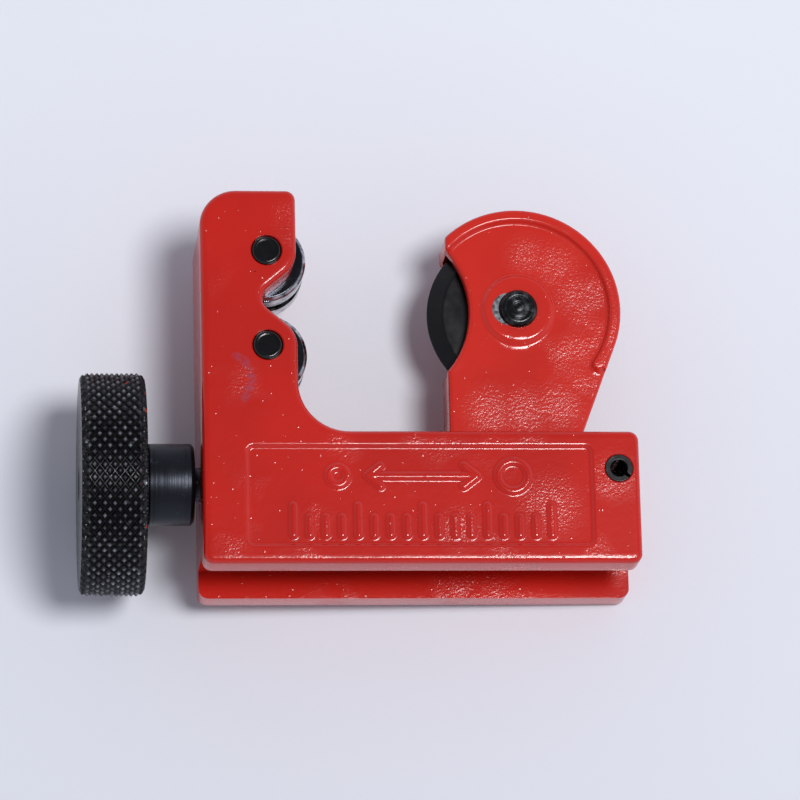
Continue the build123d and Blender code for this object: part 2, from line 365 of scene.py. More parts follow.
def lofted(outline: Outline, rings: Sequence[tuple[float, float]]) -> np.ndarray:
    """Carries an outline through rings: each is moved in along its normals, and lifted to z.

    Args:
        outline: the outline.
        rings: the inset and the height of each ring.

    Returns:
        The points, rings by outline points by 3.
    """
    inset, height = np.array(rings, float).T
    flat = outline.points[None] - outline.normals[None] * inset[:, None, None]
    lifted = np.broadcast_to(height[:, None, None], (*flat.shape[:2], 1))
    return np.concatenate([flat, lifted], axis=-1)


def washer_profile(inner: float, outer: float, low: float, high: float, edge: float) -> np.ndarray:
    """Half the section of a washer, with its outer edges rounded.

    Args:
        inner: the hole's radius.
        outer: the outer radius.
        low: where it begins along its axis.
        high: where it ends.
        edge: the rounding of its outer edges.

    Returns:
        The profile's points.
    """
    return rounded_profile([(inner, low, 0), (outer, low, edge), (outer, high, edge), (inner, high, 0)])


def edge_rings(radius: float, height: float, up: int, land: float) -> list[tuple[float, float]]:
    """The rings of a rounded edge: a quarter circle, then a narrow flat.

    Args:
        radius: the edge's rounding.
        height: the face's height.
        up: 1 where the face looks up the z axis, and -1 where it looks down it.
        land: width of the flat, which keeps the face's shading flat.

    Returns:
        Inset and height of each ring, from the side to the face.
    """
    angle = np.linspace(0, math.pi / 2, EDGE_STEPS + 1)
    inset = radius * (1 - np.cos(angle))
    drop = radius * (1 - np.sin(angle))
    rings = [(float(i), height - up * float(d)) for i, d in zip(inset, drop)]
    return rings + [(radius + land, height)]


def plate(outline: Outline, low: float, high: float, edge: float, land: float = 0.05) -> Shell:
    """A flat plate with rounded edges on both faces.

    Args:
        outline: its outline.
        low: height of its lower face.
        high: height of its upper face.
        edge: the rounding of its edges.
        land: width of the flat beside each edge.

    Returns:
        The plate.
    """
    rings = edge_rings(edge, low, -1, land)[::-1] + edge_rings(edge, high, 1, land)
    points = lofted(outline, rings)
    return Shell.grid(points, wrap_columns=True) + Shell.cap([points[0]]) + Shell.cap([points[-1]])


def soft_step(distance: np.ndarray, width: float) -> np.ndarray:
    """1 inside a shape and 0 outside it, with a smooth cubic step of that width at its edge."""
    t = np.clip(0.5 - distance / width, 0, 1)
    return t * t * (3 - 2 * t)


def box_distance(
    x: np.ndarray, y: np.ndarray, low: np.ndarray, high: np.ndarray, corner: float
) -> np.ndarray:
    """Distance from a rectangle with rounded corners.

    Outside it is the length of what x and y reach past the inner rectangle, less the corner's
    radius, and inside it is the larger of the two, which is negative.

    Args:
        x: places along the first axis.
        y: places along the second axis.
        low: the rectangle's lower left corner.
        high: its upper right corner.
        corner: the corners' radius.

    Returns:
        The distance at each place, negative inside.
    """
    middle, half = (low + high) / 2, (high - low) / 2
    across, along = np.abs(x - middle[0]) - half[0] + corner, np.abs(y - middle[1]) - half[1] + corner
    outside = np.hypot(np.maximum(across, 0), np.maximum(along, 0))
    return outside + np.minimum(np.maximum(across, along), 0) - corner


def stroke_distance(
    x: np.ndarray, y: np.ndarray, start: tuple[float, float], end: tuple[float, float]
) -> np.ndarray:
    """Distance from the straight line between two points.

    The nearest point of the line is at the share that the place's shadow on it gives, held
    between 0 and 1.

    Args:
        x: places along the first axis.
        y: places along the second axis.
        start: where the line starts.
        end: where it ends.

    Returns:
        The distance at each place.
    """
    ray = np.subtract(end, start)
    share = np.clip(((x - start[0]) * ray[0] + (y - start[1]) * ray[1]) / (ray @ ray), 0, 1)
    return np.hypot(x - start[0] - share * ray[0], y - start[1] - share * ray[1])


# ------------------------------------------------------------------------------ pieces
def bare_mesh(name: str, shell: Shell) -> bpy.types.Mesh:
    """Makes a closed mesh, its doubles merged and its faces looking out.

    Args:
        name: the mesh's name.
        shell: its surface, in tool millimetres.

    Returns:
        The mesh, in tool millimetres.
    """
    mesh = bpy.data.meshes.new(name)
    mesh.from_pydata(shell.points.tolist(), [], shell.faces)
    work = bmesh.new()
    work.from_mesh(mesh)
    bmesh.ops.remove_doubles(work, verts=work.verts, dist=MERGE_MM)
    bmesh.ops.dissolve_degenerate(work, edges=work.edges, dist=MERGE_MM)
    bmesh.ops.recalc_face_normals(work, faces=work.faces)
    work.to_mesh(mesh)
    work.free()
    return mesh


def carved(name: str, shell: Shell, cutters: Sequence[Shell]) -> bpy.types.Mesh:
    """Cuts shells out of a shell, exactly.

    Args:
        name: the mesh's name.
        shell: what is cut.
        cutters: what is taken away, one after the other.

    Returns:
        The cut mesh, in tool millimetres.
    """
    made = [bpy.data.objects.new(name, bare_mesh(name, shell))]
    for cutter in cutters:
        made.append(bpy.data.objects.new("cutter", bare_mesh("cutter", cutter)))
        step = made[0].modifiers.new("cut", "BOOLEAN")
        step.operation, step.solver, step.object = "DIFFERENCE", "EXACT", made[-1]
    for item in made:
        bpy.context.scene.collection.objects.link(item)
    evaluated = made[0].evaluated_get(bpy.context.evaluated_depsgraph_get())
    mesh = bpy.data.meshes.new_from_object(evaluated)
    for item in made:
        bpy.data.objects.remove(item)
    return mesh


@dataclass
class Maker:
    """Turns finished shapes into pieces that ride on the CAD's bodies.

    Args:
        tool: the tool's frame.
        made: the pieces so far.
    """

    tool: ToolFrame
    made: list[bpy.types.Object] = field(default_factory=list)

    def piece(
        self, name: str, shape: Shell | bpy.types.Mesh, finish: "Finish", body: str, node: str,
        crease: float = 32.0,
    ) -> bpy.types.Object:
        """Makes one piece that stands for one CAD node.

        Args:
            name: the piece's name.
            shape: its surface or mesh, in tool millimetres.
            finish: its finish.
            body: the CAD body it rides on.
            node: the CAD node it replaces.
            crease: edges that turn by more than this many degrees stay sharp.

        Returns:
            The piece's object.
        """
        mesh = bare_mesh(name, shape) if isinstance(shape, Shell) else shape
        flat = np.empty(len(mesh.vertices) * 3, np.float32)
        mesh.vertices.foreach_get("co", flat)
        mesh.vertices.foreach_set("co", self.tool.place(flat.reshape(-1, 3)).astype(np.float32).ravel())
        mesh.update()
        mesh.shade_smooth()
        mesh.set_sharp_from_angle(angle=math.radians(crease))
        mesh.materials.clear()
        mesh.materials.append(finish.material(self.tool))
        item = bpy.data.objects.new(name, mesh)
        bpy.context.scene.collection.objects.link(item)
        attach(item, body)
        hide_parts(node)
        self.made.append(item)
        LOG.info("%s: %d faces, on %s", name, len(mesh.polygons), body)
        return item


# ------------------------------------------------------------------------------ finishes
def srgb(code: str) -> tuple[float, float, float, float]:
    """Turns an sRGB colour into a linear one.

    Args:
        code: a number sign and six hex digits.

    Returns:
        Linear red, green, blue and alpha.
    """
    parts = np.array([int(code[i : i + 2], 16) for i in (1, 3, 5)]) / 255
    linear = np.where(parts <= 0.04045, parts / 12.92, ((parts + 0.055) / 1.055) ** 2.4)
    return (*linear.tolist(), 1.0)


def add_node(
    tree: bpy.types.NodeTree, kind: str, inputs: dict[str | int, Any] | None = None, output: str | int = 0,
    **settings: Any,
) -> bpy.types.NodeSocket | None:
    """Adds a node with its settings and links.

    Args:
        tree: the material's nodes.
        kind: the node's type, without the word ShaderNode.
        inputs: for each input socket, a value or the output socket it is linked to.
        output: the output socket that is wanted.
        settings: the node's own settings.

    Returns:
        That output socket, or None on a node that has none.
    """
    node = tree.nodes.new("ShaderNode" + kind)
    for key, value in settings.items():
        setattr(node, key, value)
    for key, value in (inputs or {}).items():
        if isinstance(value, bpy.types.NodeSocket):
            tree.links.new(value, node.inputs[key])
        else:
            node.inputs[key].default_value = value
    return node.outputs[output] if node.outputs else None


def away_from(
    tree: bpy.types.NodeTree, place: bpy.types.NodeSocket, x: float, y: float
) -> bpy.types.NodeSocket:
    """Measures how far a place is from an axis across the tool's thickness.

    Args:
        tree: the material's nodes.
        place: the tool's coordinates, in millimetres.
        x: where the axis stands along the screw.
        y: where it stands up the arm.

    Returns:
        The distance, in millimetres.
    """
    flat = add_node(tree, "VectorMath", {0: place, 1: IN_PLANE}, operation="MULTIPLY")
    return add_node(tree, "VectorMath", {0: flat, 1: (x, y, 0)}, output="Value", operation="DISTANCE")


def above(tree: bpy.types.NodeTree, place: bpy.types.NodeSocket, height: float) -> bpy.types.NodeSocket:
    """Gives 1 where a place lies above a height over the tool's middle plane, and 0 below it."""
    level = add_node(tree, "SeparateXYZ", {0: place}, output=2)
    return add_node(tree, "Math", {0: level, 1: height}, operation="GREATER_THAN")


@dataclass(frozen=True)
class Finish:
    """What every finish shares: a named material whose patterns read the tool's millimetres.

    Args:
        name: the material's name.
    """

    name: str

    def material(self, tool: ToolFrame) -> bpy.types.Material:
        """Makes the finish's material once, and finds it again after that.

        Args:
            tool: the tool's frame.

        Returns:
            The material.
        """
        found = bpy.data.materials.get(self.name)
        if found:
            return found
        made = bpy.data.materials.new(self.name)
        made.use_nodes = True
        tree = made.node_tree
        tree.nodes.clear()
        where = add_node(tree, "TexCoord", output="Object")
        turn = Matrix(tool.axes.T.tolist()).to_euler()
        inputs = {"Vector": where, "Location": tool.origin.tolist(), "Rotation": turn, "Scale": (MM, MM, MM)}
        place = add_node(tree, "Mapping", inputs, vector_type="TEXTURE")
        shader = self.shade(tree, place)
        add_node(tree, "OutputMaterial", {"Surface": shader})
        return made

    def shade(self, tree: bpy.types.NodeTree, place: bpy.types.NodeSocket) -> bpy.types.NodeSocket:
        """Adds the finish's own nodes.

        Args:
            tree: the material's nodes.
            place: the tool's coordinates, in millimetres.

        Returns:
            The shader's output.
        """
        raise NotImplementedError


@dataclass(frozen=True)
class CastEnamel(Finish):
    """Gloss enamel sprayed over a rough zinc die casting.

    The casting's grain shows through the paint as small lumps that glint, the paint has
    orange peel, and there are a few dark specks where it missed.

    Args:
        colour: the enamel.
        deep: the enamel where it lies thicker.
        stipple_mm: size of the casting's grain.
        stipple_height_mm: how high it stands.
        stipple_share: from 0 to 1, how much of the surface is stippled.
        bead_mm: spacing of the single beads.
        bead_height_mm: how high they stand.
        speck_mm: spacing of the dark specks.
        gloss: roughness of the smooth paint and of the stippled paint.
        grainy: centre x, centre y and radius of places that are stippled all over.
        scuff: points on the front along which the paint is rubbed.
        bare: centre x, centre y and radius of a spot on the front left unpainted, or None.
        cloud_mm: size of the areas where the paint lies thicker.
        peel_mm: size of the orange peel's waves.
        peel_height_mm: how high they stand.
        zone_mm: size of the stippled areas.
        wander_mm: size of the scuff's crooks.
        rub_mm: size of the gaps in the scuff, and of the mottling of the bare zinc.
        scuff_reach_mm: how far from the scuff's line it ends, and where it is full.
        scuff_above: the scuff shows only above this height over the middle plane.
        bare_above: the unpainted spot shows only above this height.
        speck_colour: the dark specks.
        scuff_colour: the rubbed paint.
        zinc: the unpainted zinc, pale and dark.
    """

    colour: str = "#C32016"
    deep: str = "#B01B12"
    stipple_mm: float = 0.34
    stipple_height_mm: float = 0.055
    stipple_share: float = 0.4
    bead_mm: float = 1.0
    bead_height_mm: float = 0.05
    speck_mm: float = 4.2
    gloss: tuple[float, float] = (0.15, 0.3)
    grainy: tuple[tuple[float, float, float], ...] = ()
    scuff: tuple[tuple[float, float], ...] = ()
    bare: tuple[float, float, float] | None = None
    cloud_mm: float = 14.2857
    peel_mm: float = 1.0
    peel_height_mm: float = 0.012
    zone_mm: float = 9.0909
    wander_mm: float = 1.8182
    rub_mm: float = 0.625
    scuff_reach_mm: tuple[float, float] = (0.75, 0.3)
    scuff_above: float = 9.0
    bare_above: float = 2.4
    speck_colour: str = "#5A1A18"
    scuff_colour: str = "#A03A4C"
    zinc: tuple[str, str] = ("#83878D", "#45484D")

    def shade(self, tree: bpy.types.NodeTree, place: bpy.types.NodeSocket) -> bpy.types.NodeSocket:
        """Adds the enamel's nodes.

        Args:
            tree: the material's nodes.
            place: the tool's coordinates, in millimetres.

        Returns:
            The shader's output.
        """
        cloud = add_node(tree, "TexNoise", {"Vector": place, "Scale": 1 / self.cloud_mm, "Detail": 2.0})
        patch = add_node(
            tree, "MapRange", {0: cloud, 1: 0.35, 2: 0.65, 3: 0.0, 4: 0.5},
            interpolation_type="SMOOTHSTEP",
        )
        colour = add_node(
            tree, "Mix", {0: patch, 6: srgb(self.colour), 7: srgb(self.deep)}, output=2, data_type="RGBA"
        )
        # dark specks: the middle of a few cells
        spots = add_node(tree, "TexVoronoi", {"Vector": place, "Scale": 1 / self.speck_mm})
        size = add_node(tree, "SeparateColor", {0: spots.node.outputs["Color"]})
        reach = add_node(tree, "MapRange", {0: size, 1: 0.6, 2: 1.0, 3: 0.0, 4: 0.045})
        near = add_node(tree, "Math", {0: spots, 1: reach}, operation="LESS_THAN")
        colour = add_node(
            tree, "Mix", {0: near, 6: colour, 7: srgb(self.speck_colour)}, output=2, data_type="RGBA"
        )
        if self.scuff:
            colour = self.rubbed(tree, place, colour)
        metal: bpy.types.NodeSocket | float = 0.0
        if self.bare:
            colour, metal = self.unpainted(tree, place, colour)
        normal, stippled = self.surface(tree, place)
        dull = add_node(tree, "MapRange", {0: stippled, 1: 0.0, 2: 1.0, 3: self.gloss[0], 4: self.gloss[1]})
        if self.bare:
            dull = add_node(tree, "Mix", {0: metal, 2: dull, 3: 0.3})
        return add_node(
            tree, "BsdfPrincipled",
            {"Base Color": colour, "Roughness": dull, "Metallic": metal, "IOR": 1.5, "Normal": normal},
        )

    def surface(
        self, tree: bpy.types.NodeTree, place: bpy.types.NodeSocket
    ) -> tuple[bpy.types.NodeSocket, bpy.types.NodeSocket]:
        """Raises the paint: orange peel, stippled areas, and single beads that glint.

        The stipple and the beads are drawn a little coarser than the real grain, which would
        be too fine to show.

        Args:
            tree: the material's nodes.
            place: the tool's coordinates, in millimetres.

        Returns:
            The bumped normal, and how stippled the place is, from 0 to 1.
        """
        peel = add_node(tree, "TexNoise", {"Vector": place, "Scale": 1 / self.peel_mm, "Detail": 2.0})
        soft = add_node(tree, "Bump", {"Height": peel, "Distance": self.peel_height_mm * MM})
        grain = add_node(tree, "TexNoise", {"Vector": place, "Scale": 1 / self.stipple_mm, "Detail": 2.0})
        zone = add_node(tree, "TexNoise", {"Vector": place, "Scale": 1 / self.zone_mm, "Detail": 2.0})
        edge = 0.62 - 0.24 * self.stipple_share
        rough = add_node(tree, "MapRange", {0: zone, 1: edge - 0.06, 2: edge + 0.1, 3: 0.05, 4: 1.0})
        for x, y, radius in self.grainy:
            gap = away_from(tree, place, x, y)
            full = add_node(tree, "MapRange", {0: gap, 1: 1.25 * radius, 2: 0.3 * radius, 3: 0.0, 4: 1.0})
            rough = add_node(tree, "Math", {0: rough, 1: full}, operation="MAXIMUM")
        lumps = add_node(tree, "Math", {0: grain, 1: rough}, operation="MULTIPLY")
        stipple = add_node(
            tree, "Bump", {"Height": lumps, "Distance": self.stipple_height_mm * MM, "Normal": soft}
        )
        cells = add_node(tree, "TexVoronoi", {"Vector": place, "Scale": 1 / self.bead_mm})
        chance = add_node(tree, "SeparateColor", {0: cells.node.outputs["Color"]}, output=1)
        reach = add_node(tree, "MapRange", {0: chance, 1: 0.35, 2: 1.0, 3: 0.001, 4: 0.27})
        bead = add_node(
            tree, "MapRange", {0: cells, 1: reach, 2: 0.0, 3: 0.0, 4: 1.0},
            interpolation_type="SMOOTHSTEP",
        )
        normal = add_node(
            tree, "Bump", {"Height": bead, "Distance": self.bead_height_mm * MM, "Normal": stipple}
        )
        return normal, rough

    def rubbed(
        self, tree: bpy.types.NodeTree, place: bpy.types.NodeSocket, colour: bpy.types.NodeSocket
    ) -> bpy.types.NodeSocket:
        """Darkens a crooked scuff: the least distance from its straight parts, with noise added.

        Args:
            tree: the material's nodes.
            place: the tool's coordinates, in millimetres.
            colour: the paint.

        Returns:
            The paint with the scuff on it.
        """
        wander = add_node(
            tree, "TexNoise", {"Vector": place, "Scale": 1 / self.wander_mm, "Detail": 3.0}, output="Color"
        )
        swing = add_node(tree, "VectorMath", {0: wander, 1: (0.5, 0.5, 0.5)}, operation="SUBTRACT")
        warp = add_node(
            tree, "VectorMath", {0: swing, 1: (1.3, 1.3, 0.0), 2: place}, operation="MULTIPLY_ADD"
        )
        gap: bpy.types.NodeSocket | float = 9.0
        for start, end in zip(self.scuff, self.scuff[1:]):
            from_start = add_node(tree, "VectorMath", {0: warp, 1: (*start, 0)}, operation="SUBTRACT")
            flat = add_node(tree, "VectorMath", {0: from_start, 1: IN_PLANE}, operation="MULTIPLY")
            ray = np.array([end[0] - start[0], end[1] - start[1], 0.0])
            per_length = (ray / (ray @ ray)).tolist()
            share = add_node(
                tree, "VectorMath", {0: flat, 1: per_length}, output="Value", operation="DOT_PRODUCT"
            )
            held = add_node(tree, "Clamp", {0: share, 1: 0.0, 2: 1.0})
            foot = add_node(tree, "VectorMath", {0: ray.tolist(), "Scale": held}, operation="SCALE")
            away = add_node(tree, "VectorMath", {0: flat, 1: foot}, output="Value", operation="DISTANCE")
            gap = add_node(tree, "Math", {0: gap, 1: away}, operation="MINIMUM")
        ends, full = self.scuff_reach_mm
        band = add_node(tree, "MapRange", {0: gap, 1: ends, 2: full, 3: 0.0, 4: 1.0})
        broken = add_node(tree, "TexNoise", {"Vector": place, "Scale": 1 / self.rub_mm, "Detail": 3.0})
        kept = add_node(tree, "MapRange", {0: broken, 1: 0.38, 2: 0.6, 3: 0.1, 4: 0.85})
        share = band
        for part in (kept, above(tree, place, self.scuff_above)):
            share = add_node(tree, "Math", {0: share, 1: part}, operation="MULTIPLY")
        return add_node(
            tree, "Mix", {0: share, 6: colour, 7: srgb(self.scuff_colour)}, output=2, data_type="RGBA"
        )

    def unpainted(
        self, tree: bpy.types.NodeTree, place: bpy.types.NodeSocket, colour: bpy.types.NodeSocket
    ) -> tuple[bpy.types.NodeSocket, bpy.types.NodeSocket]:
        """Shows bare zinc inside a circle on the front.

        Args:
            tree: the material's nodes.
            place: the tool's coordinates, in millimetres.
            colour: the paint.

        Returns:
            The paint with the zinc in it, and how bare the place is, from 0 to 1.
        """
        x, y, radius = self.bare
        blur = 0.08
        inside = add_node(
            tree, "MapRange",
            {0: away_from(tree, place, x, y), 1: radius + blur, 2: radius - blur, 3: 0.0, 4: 1.0},
        )
        front = above(tree, place, self.bare_above)
        share = add_node(tree, "Math", {0: inside, 1: front}, operation="MULTIPLY")
        mottle = add_node(tree, "TexNoise", {"Vector": place, "Scale": 1 / self.rub_mm, "Detail": 4.0})
        dark = add_node(tree, "MapRange", {0: mottle, 1: 0.4, 2: 0.62, 3: 0.0, 4: 1.0})
        pale, deep = (srgb(code) for code in self.zinc)
        zinc = add_node(tree, "Mix", {0: dark, 6: pale, 7: deep}, output=2, data_type="RGBA")
        mixed = add_node(tree, "Mix", {0: share, 6: colour, 7: zinc}, output=2, data_type="RGBA")
        return mixed, share


@dataclass(frozen=True)
class TurnedMetal(Finish):
    """Metal turned on a lathe: fine grooves round its axis, cloudy wear, and where asked a pale crest band,
    which is wear on a knurl's tips and a painted highlight on a roller's chamfer and rim.

    Args:
        axis: the axis it was turned about.
        centre: where that axis stands across itself, in millimetres.
        colour: the metal or its coating.
        worn_and_highlight: the colour where it is rubbed, and in the crest band, which on a roller is a
            painted highlight.
        metallic: 1 for bare metal, less under a coating.
        roughness: least and most roughness.
        groove_mm: spacing of the turning grooves.
        groove_height_mm: their depth.
        wear: from 0 to 1, how much of it is rubbed.
        specks: whether a little red paint has spattered on it.
        crest: the radii, in millimetres, between which it turns to the worn_and_highlight colour, or None; on
            a knurl that is wear on the tips, and on a roller a painted highlight on the chamfer and rim.
        cloud_mm: size of the clouds of wear.
        speck_mm: spacing of the specks of paint.
        speck_colour: those specks.
    """

    axis: Axis = Axis.PIN
    centre: tuple[float, float] = (0.0, 0.0)
    colour: str = "#9A9CA0"
    worn_and_highlight: str = "#C8C9CC"
    metallic: float = 1.0
    roughness: tuple[float, float] = (0.18, 0.32)
    groove_mm: float = 0.25
    groove_height_mm: float = 0.006
    wear: float = 0.3
    specks: bool = False
    crest: tuple[float, float] | None = None
    cloud_mm: float = 1.42857
    speck_mm: float = 2.6
    speck_colour: str = "#A8341F"

    def shade(self, tree: bpy.types.NodeTree, place: bpy.types.NodeSocket) -> bpy.types.NodeSocket:
        """Adds the metal's nodes.

        Args:
            tree: the material's nodes.
            place: the tool's coordinates, in millimetres.

        Returns:
            The shader's output.
        """
        along_x = self.axis is Axis.SCREW
        across = (0, 1, 1) if along_x else IN_PLANE
        centre = (0, *self.centre) if along_x else (*self.centre, 0)
        apart = add_node(tree, "VectorMath", {0: place, 1: centre}, operation="SUBTRACT")
        flat = add_node(tree, "VectorMath", {0: apart, 1: across}, operation="MULTIPLY")
        radius = add_node(tree, "VectorMath", {0: flat}, output="Value", operation="LENGTH")
        height = add_node(tree, "SeparateXYZ", {0: apart}, output=0 if along_x else 2)
        line = add_node(tree, "CombineXYZ", {0: radius, 1: height})
        grooves = add_node(tree, "TexNoise", {"Vector": line, "Scale": 1 / self.groove_mm, "Detail": 2.0})
        cloud = add_node(
            tree, "TexNoise",
            {"Vector": place, "Scale": 1 / self.cloud_mm, "Detail": 5.0, "Roughness": 0.6},
        )
        rubbed = add_node(tree, "MapRange", {0: cloud, 1: 0.68 - 0.3 * self.wear, 2: 0.82, 3: 0.0, 4: 1.0})
        # the crest band: wear on a knurl's tips, and on a roller a painted highlight on the chamfer and rim;
        # rubbed then carries both
        if self.crest:
            inner, outer = self.crest
            top = add_node(tree, "MapRange", {0: radius, 1: inner, 2: outer, 3: 0.0, 4: 1.0})
            bare = add_node(tree, "MapRange", {0: cloud, 1: 0.4, 2: 0.62, 3: 0.1, 4: 1.0})
            tops = add_node(tree, "Math", {0: top, 1: bare}, operation="MULTIPLY")
            rubbed = add_node(tree, "Math", {0: rubbed, 1: tops}, operation="MAXIMUM")
        # the worn_and_highlight colour: wear, and on a roller's rim a painted highlight
        colour = add_node(
            tree, "Mix", {0: rubbed, 6: srgb(self.colour), 7: srgb(self.worn_and_highlight)}, output=2, data_type="RGBA"
        )
        if self.specks:
            cells = add_node(tree, "TexVoronoi", {"Vector": place, "Scale": 1 / self.speck_mm})
            chance = add_node(tree, "SeparateColor", {0: cells.node.outputs["Color"]})
            reach = add_node(tree, "MapRange", {0: chance, 1: 0.88, 2: 1.0, 3: 0.0, 4: 0.22})
            spot = add_node(tree, "Math", {0: cells, 1: reach}, operation="LESS_THAN")
            colour = add_node(
                tree, "Mix", {0: spot, 6: colour, 7: srgb(self.speck_colour)}, output=2, data_type="RGBA"
            )
        low, high = self.roughness
        rough = add_node(tree, "MapRange", {0: cloud, 1: 0.3, 2: 0.7, 3: low, 4: high})
        bump = add_node(tree, "Bump", {"Height": grooves, "Distance": self.groove_height_mm * MM})
        return add_node(
            tree, "BsdfPrincipled",
            {"Base Color": colour, "Metallic": self.metallic, "Roughness": rough, "Normal": bump},
        )


@dataclass(frozen=True)
class StudioPaper(Finish):
    """Matt pale paper under the tool, with a faint unevenness, and painted shade that darkens it towards the
    near side.

    Args:
        colour: the paper.
        shade_colour: the painted shade, where the paper lies further from the light, towards the near side.
        far: the height up the arm, in millimetres, where the paper is palest.
        near: the height where it is dimmest.
        cloud_mm: size of its faint clouds.
        fibre_mm: size of its fibres.
        fibre_height_mm: how high they stand.
    """

    colour: str = "#EBEEF6"
    shade_colour: str = "#D9DBE4"
    far: float = 75.0
    near: float = -75.0
    cloud_mm: float = 50.0
    fibre_mm: float = 0.6667
    fibre_height_mm: float = 0.02

    def shade(self, tree: bpy.types.NodeTree, place: bpy.types.NodeSocket) -> bpy.types.NodeSocket:
        """Adds the paper's nodes.

        Args:
            tree: the material's nodes.
            place: the tool's coordinates, in millimetres.

        Returns:
            The shader's output.
        """
        cloud = add_node(tree, "TexNoise", {"Vector": place, "Scale": 1 / self.cloud_mm, "Detail": 2.0})
        # painted shade: the paper grows darker towards the near side, as if further from the light
        depth = add_node(tree, "SeparateXYZ", {0: place}, output=1)
        fall = add_node(tree, "MapRange", {0: depth, 1: self.far, 2: self.near, 3: 0.0, 4: 0.7})
        share = add_node(tree, "Math", {0: cloud, 1: 0.15, 2: fall}, operation="MULTIPLY_ADD")
        colour = add_node(
            tree, "Mix", {0: share, 6: srgb(self.colour), 7: srgb(self.shade_colour)}, output=2,
            data_type="RGBA",
        )
        fibre = add_node(tree, "TexNoise", {"Vector": place, "Scale": 1 / self.fibre_mm, "Detail": 4.0})
        bump = add_node(tree, "Bump", {"Height": fibre, "Distance": self.fibre_height_mm * MM})
        return add_node(
            tree, "BsdfPrincipled",
            {"Base Color": colour, "Roughness": 0.85, "Specular IOR Level": 0.2, "Normal": bump},
        )


